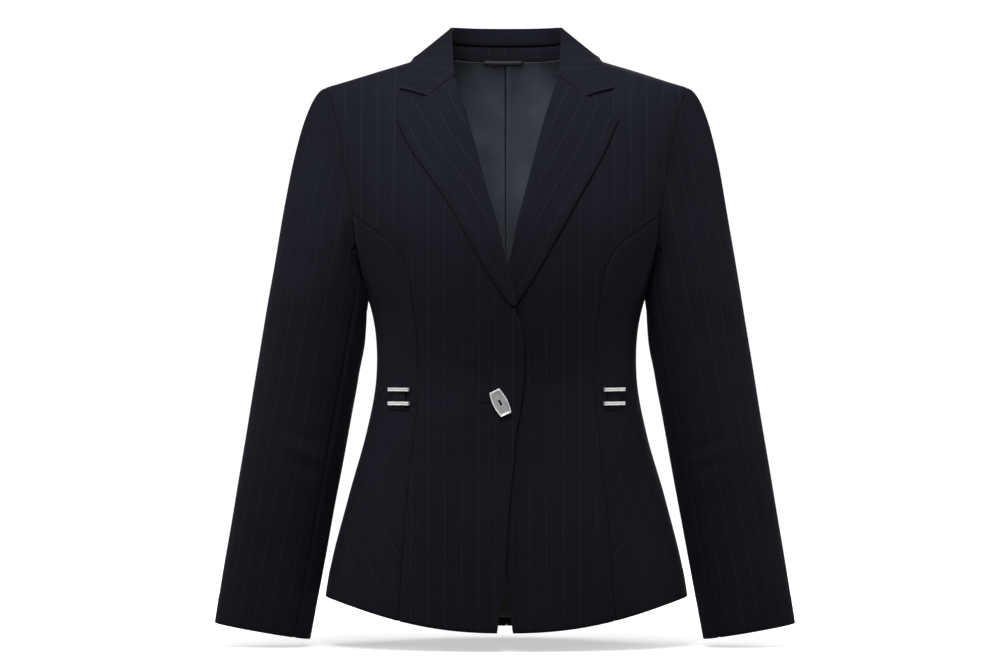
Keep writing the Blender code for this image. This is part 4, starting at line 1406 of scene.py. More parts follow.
    def armhole_loop(self, side: Side) -> tuple[Array, Array]:
        """Goes round the armhole: shoulder, front, underarm, back.

        Args:
            side: which side of the body.

        Returns:
            Points and outward directions.
        """
        low, grids = self.lower_rows, zip(self.front_grid(side), self.side_grid(), self.back_grid())
        return tuple(
            np.concatenate([front[: low - 1 : -1, -1], panel[-1, 1:-1], back[low:-1, -1]]) for front, panel,
            back in grids
        )

    def down_seam(self, below: float, beside: float) -> Array:
        """Returns one value for each row of an outer seam below the armhole and another beside it."""
        rows = np.arange(self.lower_rows + self.upper_rows + 1)
        return np.where(rows < self.lower_rows, below, beside)[:, None]

    def cut(self, word: str, side: Side, grid: tuple, uv: Array, relief: Moved, **more: object) -> None:
        """Cuts one panel.

        Args:
            word: the piece's name without its side.
            side: its side.
            grid: its points and normals.
            uv: its place on the cloth.
            relief: how the folds move its points.
            more: what else the cloth is told.
        """
        edges = sewn("hsfs" if word == "front" else "hsss")
        name, moved = f"{word}_{side.word}_cloth", relief(*grid, side)
        cloth = Cloth(name, *grid, uv, edges, self.finishes.lined, side, relief=moved, **more)
        cloth.declare(cloth.build())

    def build(self, relief: Moved) -> None:
        """Makes the six panels.

        Args:
            relief: says how far each point of a grid moves outwards.
        """
        # how much painted shade the seams get: the armhole seam gets all of it, the others a part
        dark = self.seam_shade
        outer = {
            "fades": {Edge.END: self.down_seam(1.0, self.armhole_dip)},
            "shades": {Edge.END: self.down_seam(dark, 1.0), Edge.START: dark, Edge.TOP: dark}
        }
        across = {
            "fades": {Edge.TOP: self.armhole_dip},
            "shades": {Edge.TOP: 1.0, Edge.START: dark, Edge.END: dark}
        }
        turn = math.radians(90 - self.bias_deg)
        for side in Side:
            grid = self.front_grid(side)
            face = grid[0]
            uv = packed(face[..., 0] - self.stripe_phase[side] + 0.5 * Suiting.pitch, face[..., 2])
            inside = (runs(face, 0) > self.turned_up) & (runs(face, 1) > self.facing_wide)
            self.cut("front", side, grid, uv, relief, inner_slot=inside, **outer)
            grid = self.side_grid()
            face = grid[0]
            run, rise = runs(face, 1), face[..., 2]
            uv = packed(
                run * math.cos(turn) - rise * math.sin(turn), run * math.sin(turn) + rise * math.cos(turn)
            )
            self.cut("side", side, grid, uv, relief, inner_slot=runs(face, 0) > self.turned_up, **across)
            grid = self.back_grid()
            self.cut("back", side, grid, grid[0][..., [0, 2]], relief, **outer)


# ---- sleeves


@dataclass
class Sleeves:
    """The two-piece sleeves, from the armhole to the open cuff."""

    finishes: Finishes
    body: Body
    arm_top: tuple = (0.2038, 0.0, -0.25)
    arm_lean: tuple = (0.1696, 0.0, -0.9855)
    # distance, half width, half depth, forward shift
    sections: Table = (
        (0.0, 0.0555, 0.056, 0.0), (0.08, 0.055, 0.053, 0.0), (0.16, 0.0541, 0.049, 0.002),
        (0.24, 0.0535, 0.043, 0.008), (0.32, 0.0527, 0.035, 0.019), (0.3785, 0.0517, 0.029, 0.028)
    )
    seams_deg: tuple = (134, 232)  # front, back
    clearance: float = 0.0012
    armhole_gap: float = 0.00045
    swing_deg: float = 172
    cap_leaving: tuple = (0.08, 0.012)
    cap_arriving: float = 1.25
    cap_steps: tuple = (0.0, 0.07, 0.17, 0.31, 0.5, 0.74, 1.0)
    cap_long: float = 0.13
    clear_from: float = -0.09  # above this height there is no body beside the sleeve to keep clear of
    clear_fade: float = 0.06
    cap_rows: int = 44
    arm_knots: int = 8
    arm_rows: int = 96
    turning: float = 0.006
    turned_up: float = 0.03
    # how far in the middle of each sleeve lies, how much wider its half is: the photo's two differ
    fit: dict = field(default_factory=lambda: {Side.RIGHT: (0.0011, 0.0011), Side.LEFT: (0.0024, -0.0008)})
    stripe_shift: float = 0.0045
    inside_gap: float = 0.0024

    def __post_init__(self) -> None:
        """Works out the arm's directions."""
        self.top, self.lean = np.array(self.arm_top), np.array(self.arm_lean)
        self.outwards = np.array((-self.lean[2], 0.0, self.lean[0]))

    def ring(self, distance: Array, angle: Array, side: Side = Side.RIGHT) -> Array:
        """Goes round the sleeve.

        Args:
            distance: the distance down the sleeve.
            angle: 0 at the sleeve's outer side, a right angle at its front.
            side: which side of the body.

        Returns:
            The points.
        """
        distance, angle = np.broadcast_arrays(distance, angle)
        inwards, wider = self.fit[side]
        centre = self.top + distance[..., None] * self.lean - inwards * self.outwards
        wide, deep, forward = (part(distance) for part in profiles(self.sections))
        across = (np.cos(angle) * (wide + wider))[..., None] * self.outwards
        return centre + across + packed(0.0, -forward - np.sin(angle) * deep, 0.0)

    def clear_of_body(self, points: Array, clearance: Array | float) -> Array:
        """Moves points of the sleeve out of the side of the body.

        Args:
            points: the points, as x, y, z.
            clearance: the least distance that they keep.

        Returns:
            The moved points.
        """
        x, y, z = np.moveaxis(points, -1, 0)
        deep, wide = FORM.full_depth(z, facing_of(y)) + clearance, FORM.half_width(z) + clearance
        points = points.copy()
        points[..., 0] = np.maximum(x, wide * arc(np.clip(np.abs(y) / deep, 0, 1), FORM.squareness(z)))
        return points

    def chart(self, distance: Array, degrees: Array) -> Array:
        """Returns points on the sleeve for distances down the arm and degrees round it."""
        return self.clear_of_body(self.ring(distance, np.radians(degrees)), 2 * self.clearance)

    def grid(self, side: Side) -> tuple[Array, Array, int, int]:
        """Lays out a whole sleeve.

        Args:
            side: which side of the body.

        Returns:
            The points, the normals and the columns of the two seams.
        """
        points, normals = self.body.armhole_loop(side)
        steps = np.linalg.norm(np.roll(points, -1, axis=0) - points, axis=1)
        run = np.concatenate([[0], np.cumsum(steps)])
        bottom = int(np.argmin(points[:, 2]))
        ahead = np.arange(len(points)) <= bottom
        behind = 180 + 180 * (run[:-1] - run[bottom]) / (run[-1] - run[bottom])
        starts = np.where(ahead, 180 * run[:-1] / run[bottom], behind)
        seams = [int(np.argmin(abs(starts - seam))) for seam in self.seams_deg]
        knots = (0, *starts[seams], 360)
        angles = np.radians(np.interp(starts, knots, (0, *self.seams_deg, 360)))
        starts = np.radians(starts)
        away = unit(np.cross(normals, np.roll(points, -1, axis=0) - np.roll(points, 1, axis=0)))
        turn = np.abs(np.pi - np.abs(np.pi - starts)) / np.pi
        swing = (math.radians(self.swing_deg) * turn**3)[:, None]
        begin = points + self.armhole_gap * (away * np.cos(swing / 2) + normals * np.sin(swing / 2))
        end = self.ring(np.zeros_like(angles), angles, side)
        leaving = (
            away * np.cos(swing) + normals * np.sin(swing)
        ) * mix(*self.cap_leaving, turn**1.5)[:, None]
        arriving = self.lean * self.cap_arriving * np.linalg.norm(end - begin, axis=1, keepdims=True)
        knots = []
        for k, t in enumerate(self.cap_steps):
            cap = hermite(begin, end, leaving, arriving, t)
            cleared = self.clear_of_body(cap, self.clearance * min(k, 3) / 3) if k else cap
            knots.append(mix(cap, cleared, ease((self.clear_from - cap[:, 2:]) / self.clear_fade)))
        distances = np.linspace(0, self.sections[-1][0], self.arm_knots + 1)[1:]
        for distance in distances:
            place = self.ring(np.full_like(angles, distance), angles, side)
            knots.append(self.clear_of_body(place, 2 * self.clearance))
        stations = np.concatenate([np.array(self.cap_steps) * self.cap_long, self.cap_long + distances])
        above = np.linspace(0, self.cap_long, self.cap_rows, endpoint=False)
        below = np.linspace(self.cap_long, stations[-1], self.arm_rows + 1)
        grid = through(stations, np.array(knots), np.concatenate([above, below]))
        closed = np.concatenate([grid[:, -2:], grid, grid[:, :2]], axis=1)
        return grid, grid_normals(closed)[:, 2:-2], *seams

    def round_arm(self, face: Array) -> Array:
        """Measures round the arm from its outer side, read straight up the sleeve.

        Args:
            face: a grid of points.

        Returns:
            Each point's distance.
        """
        rel = face - self.top
        distance = np.clip(rel @ self.lean, 0, self.sections[-1][0])
        wide, deep, forward = (part(distance) for part in profiles(self.sections))
        angle = np.arctan2((-rel[..., 1] - forward) / deep, (rel @ self.outwards) / wide)
        return angle * (self.sections[0][1] + self.sections[0][2]) / 2 + self.stripe_shift

    def with_turning(self, face: Array, normals: Array) -> tuple[Array, Array]:
        """Puts three rows before the grid: the turning that is pressed back inside the armhole.

        Args:
            face: a grid of points.
            normals: the outward direction at each point.

        Returns:
            The longer grid and its normals.
        """
        down = unit(face[1] - face[0])
        inner = face[0] - self.inside_gap * normals[0]
        rows = [inner - share * self.turning * down for share in (1.0, 0.5, 0.0)]
        return np.concatenate([np.array(rows), face]), np.concatenate([normals[:1]] * 3 + [normals])

    def build(self, relief: Moved) -> None:
        """Makes the four pieces.

        Args:
            relief: says how far each point of a grid moves outwards.
        """
        for side in Side:
            grid, normals, front_seam, back_seam = self.grid(side)
            count = grid.shape[1]
            normals = normals * np.sign(normals[-20, 0, 0])
            top = [k % count for k in range(back_seam, count + front_seam + 1)]
            for piece, columns in (("top", top), ("under", list(range(front_seam, back_seam + 1)))):
                face, out = self.with_turning(grid[:, columns], normals[:, columns])
                uv = packed(self.round_arm(face), runs(face, 0))
                name = f"{piece}_sleeve_{side.word}_cloth"
                cloth = Cloth(name, face, out, uv, sewn("shss"), self.finishes.lined, side)
                cloth.inner_slot = cloth.edge_distance(Edge.TOP) > self.turned_up
                cloth.relief = relief(face, out, side)
                cloth.fades = {Edge.BOTTOM: 0.0}
                cloth.declare(cloth.build())


# ---- lapels and collar


@dataclass
class Neckline:
    """The notched lapels, the collar and the stand inside the neck."""

    finishes: Finishes
    body: Body
    # height, distance: the right and the left lapel's outer edge, from its break to its tip
    lapel_edges: tuple = (
        ((-0.27, -0.0075), (-0.2649, -0.003), (-0.2305, 0.021), (-0.1983, 0.0393), (-0.1659, 0.0576),
        (-0.1334, 0.0792), (-0.1026, 0.101), (-0.0693, 0.1178)),
        ((-0.294, -0.0115), (-0.2627, 0.0134), (-0.2359, 0.0305), (-0.1983, 0.052), (-0.1497, 0.079),
        (-0.1059, 0.1036), (-0.067, 0.1209))
    )
    gorge_height: float = -0.021
    notch: tuple = (0.0854, -0.0414)
    collar_point: tuple = (0.1156, -0.0333)
    edge_stand: float = 0.02
    roll_deg: tuple = (-12, 90)
    roll_steps: int = 9
    above_break: float = 0.004
    least: float = 0.004
    lapel_rows: int = 100
    fall_points: int = 30
    kink_fade: float = 0.13
    past_tip: float = 0.12
    notch_run: float = 0.04
    # width at the shoulder, depth at the back, height back, height side, front end (x, y, z), squareness
    fold_line: tuple = (0.0605, 0.067, 0.0409, 0.038, (0.0555, -0.05, -0.021), 2.6)
    neck_line: tuple = (0.07, 0.0662, 0.003, 0.0122, (0.056, -0.044, -0.018), 2.4)
    outer_line: tuple = (0.103, 0.0825, 0.0, 0.0, (0.1156, -0.04, 0.0), 1.6)
    soft_centre: float = 0.042
    shoulder: float = 0.6
    stand_share: float = 0.53
    fold_half: float = 0.002
    fold_drop: float = 0.0045
    stand_gap: float = 0.0006
    collar_rows: int = 66
    stand_reach: float = 2 / 3

    def roll(self, side: Side, x: Array, z: Array, turns: Array) -> tuple[Array, Array]:
        """Rolls cloth round a front's edge.

        Args:
            side: which side of the body.
            x: distances from the centre line, on the left side.
            z: heights.
            turns: the angles of the roll's points.

        Returns:
            The outer and the inner points, for each place and turn.
        """
        normal = FORM.normal(x, z, Facing.FRONT)
        base = FORM.point(x, z, Facing.FRONT, FORM.lap(side, x, z) - SUITING / 2)[..., None, :]
        edge, step = self.body.front_edge[side], 0.01
        ends = [FORM.point(edge(height), height, Facing.FRONT) for height in (z + step, z - step)]
        beyond = unit(np.cross(normal, ends[0] - ends[1]))
        beyond = beyond * -np.sign(beyond[..., :1])
        spokes = np.cos(turns)[:, None] * beyond[
            ..., None, :
        ] + np.sin(turns)[:, None] * normal[..., None, :]
        return base + ROLL_RADIUS * spokes, base + (ROLL_RADIUS - COLLAR_CLOTH) * spokes

    def turned_back(self, side: Side, x: Array, z: Array, turns: Array) -> tuple[Array, Array]:
        """Returns rows of cloth turned back over a front: its roll, then flat through the places.

        Args:
            side: which front.
            x: rows of distances, outwards from the roll.
            z: rows of heights.
            turns: the angles of the roll's points.

        Returns:
            The outer and the inner points.
        """
        stand_off = FORM.lap(side, x, z) + FOLD_LIFT + self.edge_stand * (x - x[:, :1])
        flat = FORM.point(x, z, Facing.FRONT, stand_off)
        under = flat - COLLAR_CLOTH * FORM.normal(x, z, Facing.FRONT)
        rolls = self.roll(side, x[:, 0], z[:, 0], turns)
        return tuple(np.concatenate(parts, axis=1) for parts in zip(rolls, (flat, under)))

    def gorge(self, tip: tuple, shares: Array) -> tuple[Array, Array]:
        """Follows the gorge from the roll to the notch (share 0.5) and on to a tip (share 1).

        Args:
            tip: the tip's distance and height.
            shares: how far along each place lies.

        Returns:
            The distances and the heights.
        """
        start = (
            float(self.body.front_edge[Side.RIGHT](self.gorge_height)) + ROLL_RADIUS, self.gorge_height
        )
        first, second = np.clip(shares * 2, 0, 1), np.clip(shares * 2 - 1, 0, 1)
        return tuple(mix(a, b, first) + (c - b) * second for a, b, c in zip(start, self.notch, tip))

    def lapel_grid(self, side: Side) -> tuple[Array, Array]:
        """Lays out a lapel. Rows run from the gorge to the break.

        Args:
            side: which side of the body.

        Returns:
            The outer and the inner points.
        """
        table = dict(zip(Side, self.lapel_edges))[side]
        last = self.body.break_height[side] + self.above_break
        tip_z, tip_x = table[-1]
        share, columns = crowded(self.lapel_rows, 0.5)[:, None], crowded(self.fall_points, 0.6)[None]
        roll_z, edge_z = mix(self.gorge_height, last, share), mix(tip_z, last, share)
        roll_x = self.body.front_edge[side](roll_z) + ROLL_RADIUS
        edge_x = np.maximum(Profile(table)(edge_z), roll_x + self.least)
        x, z = mix(roll_x, edge_x, columns), mix(roll_z, edge_z, columns)
        gorge_x, gorge_z = self.gorge((tip_x, tip_z), columns[0])
        kink = ease(1 - share / self.kink_fade)
        turns = np.radians(np.linspace(*self.roll_deg, self.roll_steps, endpoint=False))
        return self.turned_back(side, x + (gorge_x - x[0]) * kink, z + (gorge_z - z[0]) * kink, turns)

    def line(self, station: Array, table: tuple) -> Array:
        """Follows one of the collar's lines.

        Args:
            station: 0 at the centre back and 1 at the front end.
            table: the line's sizes.

        Returns:
            The points.
        """
        wide, deep, back_z, side_z, (end_x, end_y, end_z), n = table
        round_back = np.clip(station / self.shoulder, 0, 1)
        angle = np.pi / 2 * round_back
        depth = deep * np.abs(np.cos(angle)) ** (2 / n)
        behind = packed(wide * np.sin(angle) ** (2 / n), depth, mix(back_z, side_z, round_back**4))
        t = np.clip((station - self.shoulder) / (1 - self.shoulder), 0, 1)
        ahead = packed(mix(wide, end_x, t * t), end_y * t, mix(side_z, end_z, t**1.25))
        return np.where((station <= self.shoulder)[..., None], behind, ahead)

    def rounded_back(self, x: Array, y: Array) -> Array:
        """Gives the collar's outer edge a soft curve across the centre back.

        Args:
            x: distances from the centre line, on the left side.
            y: depths.

        Returns:
            How far back the edge lies.
        """
        wide, deep, *_, n = self.outer_line
        near = self.soft_centre
        slope = deep / wide * (1 - (near / wide) ** n) ** (1 / n - 1) * (near / wide) ** (n - 1)
        return np.where(x < near, deep * arc(near / wide, n) + slope * (near**2 - x**2) / (2 * near), y)

    def collar_sections(self, place: Array) -> Array:
        """Cuts across the collar, from its inner seam to its outer edge.

        Args:
            place: where along the collar: 0 at the centre back, 1 at the front end.

        Returns:
            Ten points at each place.
        """
        fold, seam, edge = (
            self.line(place, line) for line in (self.fold_line, self.neck_line, self.outer_line)
        )
        edge[..., 1] = self.rounded_back(edge[..., 0], edge[..., 1])
        edge[..., 2] = FORM.height_over(edge[..., 0], edge[..., 1]) + FOLD_LIFT
        fall = [mix(fold, edge, j / 7) for j in range(1, 8)]
        down, out = unit(seam - fold), unit(fall[0] - fold)
        inside = fold + self.stand_share * (seam - fold)
        fold_in = fold + self.fold_drop * down - self.fold_half * unit(out - down) * 0.5
        x, z = self.gorge(self.collar_point, np.array((0, 1 / 6, 2 / 6, 0.5, 4 / 6, 5 / 6, 1)))
        front = self.turned_back(Side.RIGHT, x[None], z[None], np.radians((-12, 28, 62)))[0]
        towards = ease((place - self.shoulder) / (1 - self.shoulder))[:, None, None]
        points = mix(np.stack([inside, fold_in, fold] + fall, axis=1), front, towards)
        cleared = FORM.clear(points[:, 3:], FOLD_LIFT)
        cleared[place == 1] = points[place == 1][:, 3:]
        return np.concatenate([points[:, :3], cleared], axis=1)

    def collar_grid(self) -> Array:
        """Lays out the collar. Rows run from the right front end round to the left one.

        Returns:
            The outer points.
        """
        sections = self.collar_sections(np.linspace(0, 1, self.collar_rows + 1)).transpose(1, 0, 2)
        shares = np.concatenate([np.linspace(0, 0.3, 16, endpoint=False), mix(0.3, 1, crowded(30, 0.5))])
        return mirrored(through(np.linspace(0, 1, len(sections)), sections, shares).transpose(1, 0, 2))

    def stand_grid(self) -> Array:
        """Lays out the band between the neck seam and the collar's inner seam.

        Returns:
            The visible points.
        """
        half = np.linspace(0, self.stand_reach, 45)
        seam, upper = self.line(half, self.neck_line), self.collar_sections(half)[:, 0]
        upper = upper + self.stand_gap * unit(seam - upper)
        return mirrored(mix(seam[:, None], upper[:, None], np.linspace(0, 1, 13)[None, :, None]))

    def from_edge(self, outer: Array) -> Array:
        """Measures from the lapel's outer edge, carried on straight past its tip.

        Args:
            outer: the grid of outer points.

        Returns:
            Each point's distance.
        """
        kink = round(self.kink_fade * self.lapel_rows)
        edge = outer[:, -1, [0, 2]]
        beyond = edge[kink] + unit(edge[kink] - edge[2 * kink]) * self.past_tip
        offsets = along_line(
            outer[..., [0, 2]].reshape(-1, 2), np.concatenate([beyond[None], edge[kink:]])
        )[1]
        return np.linalg.norm(offsets, axis=2).min(axis=1).reshape(outer.shape[:2])

    def seamed(self, outer: Array) -> Array:
        """Returns where along the gorge collar and lapel are sewn together: up to the notch."""
        return ease((self.notch_run - runs(outer[:1], 1)[0]) / 0.002)

    def cloth(
        self, name: str, outer: Array, normals: Array, uv: Array, edges: str, **more: object
    ) -> Cloth:
        """Returns a piece of the collar's cloth, given its points, normals, place on the cloth and edges."""
        finishes = (self.finishes.suiting,)
        return Cloth(name, outer, normals, uv, sewn(edges), finishes, thick=COLLAR_CLOTH, **more)

    def build(self, relief: Moved) -> None:
        """Makes the lapels, the collar and the stand.

        Args:
            relief: says how far each point of a grid moves outwards.
        """
        for side in Side:
            outer, inner = self.lapel_grid(side)
            normals = unit(outer - inner)
            uv = packed(self.from_edge(outer), runs(outer, 0))
            cloth = self.cloth(f"lapel_{side.word}_cloth", outer, normals, uv, "sfff", side=side)
            cloth.relief = relief(outer, normals, side)
            cloth.fades[Edge.BOTTOM] = self.seamed(outer)
            cloth.declare(cloth.build(), "folded", [f"front_{side.word}_cloth"])
        outer = self.collar_grid()
        normals = grid_normals(outer)
        normals *= np.sign(normals[self.collar_rows, 20, 2])
        along = runs(outer, 0)
        uv = packed(along - along[self.collar_rows], runs(outer, 1))
        cloth = self.cloth("collar_cloth", outer, normals, uv, "sssf")
        cloth.fades = {edge: self.seamed(outer) for edge in (Edge.BOTTOM, Edge.TOP)}
        cloth.declare(cloth.build(), "folded")
        outer = self.stand_grid()
        normals = grid_normals(outer)
        normals *= -np.sign(normals[outer.shape[0] // 2, 6, 1])
        uv = packed(runs(outer, 0), runs(outer, 1))
        cloth = self.cloth("stand_cloth", outer, normals, uv, "ffss", replaced="collar_stand")
        cloth.declare(cloth.build())


# ---- lining


@dataclass
class Lining:
    """The satin back lining with its centre pleat, and the hanging loop under the stand."""

    finishes: Finishes
    body: Body
    gap: float = 0.0012
    pleat_deep: float = 0.0022
    pleat_edge: float = -0.001
    pleat_reach: float = 0.018
    pleat_step: float = 0.0008
    pleat_fade: tuple = (-0.42, -0.34)
    under_ridge: tuple = (0.0045, 0.0012, 0.0006)  # across, half width, height: the pleat's inner fold
    # across, lean, half width, height: soft folds that hang from the neck seam
    soft_folds: tuple = (
        (-0.029, 0.03, 0.009, 0.0021), (0.03, -0.05, 0.0085, 0.0018), (-0.053, 0.06, 0.008, 0.0017),
        (0.052, -0.02, 0.009, 0.002), (-0.09, 0.0, 0.014, 0.0022), (0.098, 0.03, 0.015, 0.002)
    )
    crease_at: tuple = (0.011, -0.0168)
    crease_size: tuple = (0.0012, 0.006, 0.0007)  # half width, half length, height
    unevenness: float = 0.0007
    turning_half: float = 0.013
    turning_high: float = 0.04
    turning_above: float = 0.002
    turning_thick: float = 0.0007
    turning_gap: float = 0.0003
    loop_ends: tuple = (-0.026, 0.0185)
    loop_high: float = 0.0045
    loop_height: float = 0.003
    loop_depth: float = 0.0612
    loop_bow: float = 0.0012
    loop_sag: float = 0.0006

    def relief(self, x: Array, z: Array) -> Array:
        """Adds up the pleat, the soft folds and the crease, before they fade downwards.

        Args:
            x: distances from the centre line, on the left side.
            z: heights.

        Returns:
            How far they stand out.
        """
        step = ease((x - self.pleat_edge) / self.pleat_step) * self.pleat_deep
        step = step * (1 - ease((x - self.pleat_edge) / self.pleat_reach))
        at, wide, high = self.under_ridge
        step += high * bell((x - at) / wide) * ease((z + 0.12) / 0.1)
        hung = ease((-0.004 - z) / 0.05)
        for at, lean, wide, high in self.soft_folds:
            step += high * hung * bell((x - at - lean * z) / wide)
        over, up = (x - self.crease_at[0]) * 0.5**0.5, (z - self.crease_at[1]) * 0.5**0.5
        wide, long, high = self.crease_size
        return step + high * bell((over + up) / wide) * bell((over - up) / long)

    def build(self) -> None:
        """Makes the lining, the seam turning below it and the loop."""
        face = self.body.back_grid()[0][2:]
        half = np.concatenate([np.linspace(0, 0.14, 36, endpoint=False), mix(0.14, 1, crowded(44, 0.4))])
        x = face[:, -1:, 0] * np.concatenate([-half[:0:-1], half])
        z = np.array([Profile(row[:, [0, 2]])(np.abs(across)) for row, across in zip(face, x)])
        hidden = FORM.point(x, z, Facing.BACK, -SUITING - self.gap)
        inwards = -FORM.normal(x, z, Facing.BACK)
        low, high = self.pleat_fade
        fade = ease((z - low) / (high - low))
        seen = hidden + (SATIN + fade * self.relief(x, z))[..., None] * inwards
        wave = undulation(seen, 0.09, 11) * ease(-z / 0.05) + 1
        seen += (self.unevenness * wave)[..., None] * inwards
        satin = (self.finishes.satin,)
        cloth = Cloth("lining_back_satin", seen, inwards, packed(x, z), sewn("ffff"), satin, slot="satin")
        cloth.thick, cloth.inner_face = SATIN, hidden
        # painted shade: a dark line along the pleat's fold, and darkening along the top edge, where the rim
        # would catch light
        pressed = fade * bell((x - self.pleat_edge + 0.0002) / 0.0011)
        cloth.pressed = np.maximum(pressed, 0.8 * bell(cloth.edge_distance(Edge.TOP) / 0.0016))
        lining = cloth.build()
        backs = ["back_right_cloth", "back_left_cloth"]
        self.turning(backs)
        cloth.declare(lining, "hung", backs, [self.loop()])

    def turning(self, backs: list) -> None:
        """Makes the pressed turning of the centre back seam, where it shows below the lining.

        Args:
            backs: the names of the backs that it hangs on.
        """
        x, rise = np.linspace(
            -self.turning_half, self.turning_half, 25
        )[None], np.linspace(0, 1, 17)[:, None]
        z = FORM.hem_at(x, Facing.BACK) + self.turning_above + rise * self.turning_high
        face = FORM.point(x, z, Facing.BACK, -SUITING - self.turning_gap - self.turning_thick)
        inwards, finishes = -FORM.normal(x, z, Facing.BACK), (self.finishes.suiting,)
        cloth = Cloth(
            "back_turning_cloth", face, inwards, packed(x, z), sewn("ffff"), finishes, replaced=None
        )
        cloth.thick = self.turning_thick
        cloth.declare(cloth.build(), "hung", backs)

    def loop(self) -> Object:
        """Makes the hanging loop.

        Returns:
            Its object.
        """
        t, v = np.linspace(-1, 1, 49)[:, None], np.linspace(-0.5, 0.5, 7)[None]
        y = self.loop_depth - self.loop_bow * (1 - t * t) - 0.0003 * np.cos(v * np.pi)
        z = self.loop_height - self.loop_sag * (1 - t * t) + self.loop_high * v
        face = packed(mix(*self.loop_ends, (t + 1) / 2), y, z)
        normals = grid_normals(face)
        normals *= -np.sign(normals[24, 3, 1])
        uv, finishes = packed(runs(face, 0), runs(face, 1)), (self.finishes.loop,)
        cloth = Cloth(
            "hanging_loop_satin", face, normals, uv, sewn("ffff"), finishes, slot="satin", thick=SATIN
        )
        return cloth.build()


# ---- sewing


class StitchTree(Nodes):
    """A Geometry Nodes tree that lays one arched stitch at each step along a path, then makes them real."""

    NUMBERS = ("Spacing", "Length", "Radius", "Turn", "Jitter")

    def __init__(self) -> None:
        """Builds the tree."""
        super().__init__(bpy.data.node_groups.new("stitches_along_path", "GeometryNodeTree"))
        kinds = {
            "Geometry": "Geometry", **dict.fromkeys(self.NUMBERS, "Float"), "Seed": "Int",
            "Material": "Material"
        }
        for name, kind in kinds.items():
            self.tree.interface.new_socket(name, in_out="INPUT", socket_type="NodeSocket" + kind)
        self.tree.interface.new_socket("Geometry", in_out="OUTPUT", socket_type="NodeSocketGeometry")
        given = self.node("NodeGroupInput").outputs
        path = self.out("GeometryNodeMeshToCurve", {0: given["Geometry"]})
        along = {"Curve": path, "Length": given["Spacing"]}
        points = self.node("GeometryNodeCurveToPoints", along, mode="LENGTH").outputs
        half = self.math("MULTIPLY", given["Length"], 0.5)
        sunk = self.math("MULTIPLY", given["Radius"], -0.6)
        start = self.out("ShaderNodeCombineXYZ", {"X": self.math("MULTIPLY", half, -1.0), "Z": sunk})
        end = self.out("ShaderNodeCombineXYZ", {"X": half, "Z": sunk})
        top = self.out("ShaderNodeCombineXYZ", {"Z": self.math("MULTIPLY", given["Radius"], 2.2)})
        bend = {"Resolution": 6, "Start": start, "Middle": top, "End": end}
        arch = self.out("GeometryNodeCurveQuadraticBezier", bend)
        circle = self.out("GeometryNodeCurvePrimitiveCircle", {"Resolution": 6, "Radius": given["Radius"]})
        thread = {"Curve": arch, "Profile Curve": circle, "Fill Caps": True}
        stitch = self.out("GeometryNodeCurveToMesh", thread)
        out = self.out("GeometryNodeInputNamedAttribute", {"Name": "out"}, data_type="FLOAT_VECTOR")
        axes = {"primary_axis": "Z", "secondary_axis": "X"}
        facing = self.out("FunctionNodeAxesToRotation", {0: out, 1: points["Tangent"]}, **axes)
        wobble = self.math("MULTIPLY", self.random(given, -1.0, 1.0, 0), given["Jitter"])
        spin = {"Axis": (0.0, 0.0, 1.0), "Angle": self.math("ADD", given["Turn"], wobble)}
        turn = self.out("FunctionNodeAxisAngleToRotation", spin)
        turned = self.out("FunctionNodeRotateRotation", {0: facing, 1: turn}, rotation_space="LOCAL")
        laid = {"Points": points["Points"], "Instance": stitch, "Rotation": turned}
        laid["Scale"] = self.random(given, 0.88, 1.12, 1)
        real = self.out("GeometryNodeRealizeInstances", {0: self.out("GeometryNodeInstanceOnPoints", laid)})
        done = self.out("GeometryNodeSetMaterial", {"Geometry": real, "Material": given["Material"]})
        self.node("NodeGroupOutput", {0: done})

    def out(self, kind: str, inputs: dict, **settings: object) -> Socket:
        """Adds a node and returns its first output."""
        return self.node(kind, inputs, **settings).outputs[0]

    def random(self, given: object, low: float, high: float, shift: int) -> Socket:
        """Adds a random number for each stitch.

        Args:
            given: the tree's inputs.
            low: the least value.
            high: the greatest value.
            shift: what is added to the seed.

        Returns:
            The number's socket.
        """
        seed = self.math("ADD", given["Seed"], float(shift))
        made = self.node("FunctionNodeRandomValue", {2: low, 3: high, "Seed": seed}, data_type="FLOAT")
        return made.outputs[1]

    def sew(self, name: str, paths: list, slot: str, material: Material, seed: int, sizes: tuple) -> None:
        """Sews stitches along paths and makes them a plain piece that rides on the body.

        Args:
            name: the piece's name.
            paths: pairs of points and outward directions.
            slot: the piece's material slot; not used.
            material: the thread.
            seed: picks the unevenness.
            sizes: the tree's numbers, in order.
        """
        mesh = bpy.data.meshes.new(name + "_path")
        starts = np.cumsum([0] + [len(points) for points, _ in paths])
        edges = [(k, k + 1) for a, b in zip(starts[:-1], starts[1:]) for k in range(a, b - 1)]
        mesh.from_pydata(np.concatenate([points for points, _ in paths]).tolist(), edges, [])
        out = mesh.attributes.new("out", "FLOAT_VECTOR", "POINT")
        out.data.foreach_set("vector", np.concatenate([out for _, out in paths]).astype(np.float32).ravel())
        carrier = linked(name + "_path", mesh)
        modifier = carrier.modifiers.new("stitches", "NODES")
        modifier.node_group = self.tree
        values = {**dict(zip(self.NUMBERS, sizes)), "Seed": seed, "Material": material}
        for item in self.tree.interface.items_tree:
            if item.in_out == "INPUT" and item.name in values:
                modifier[item.identifier] = values[item.name]
        view = bpy.context.evaluated_depsgraph_get()
        made = bpy.data.meshes.new_from_object(carrier.evaluated_get(view))
        carrier.modifiers.remove(modifier)
        bpy.data.objects.remove(carrier)
        made.name = name
        made.materials.clear()
        made.materials.append(material)
        made.shade_smooth()
        on_body(linked(name, made), slot)
        log.info("%s: %d faces", name, len(made.polygons))


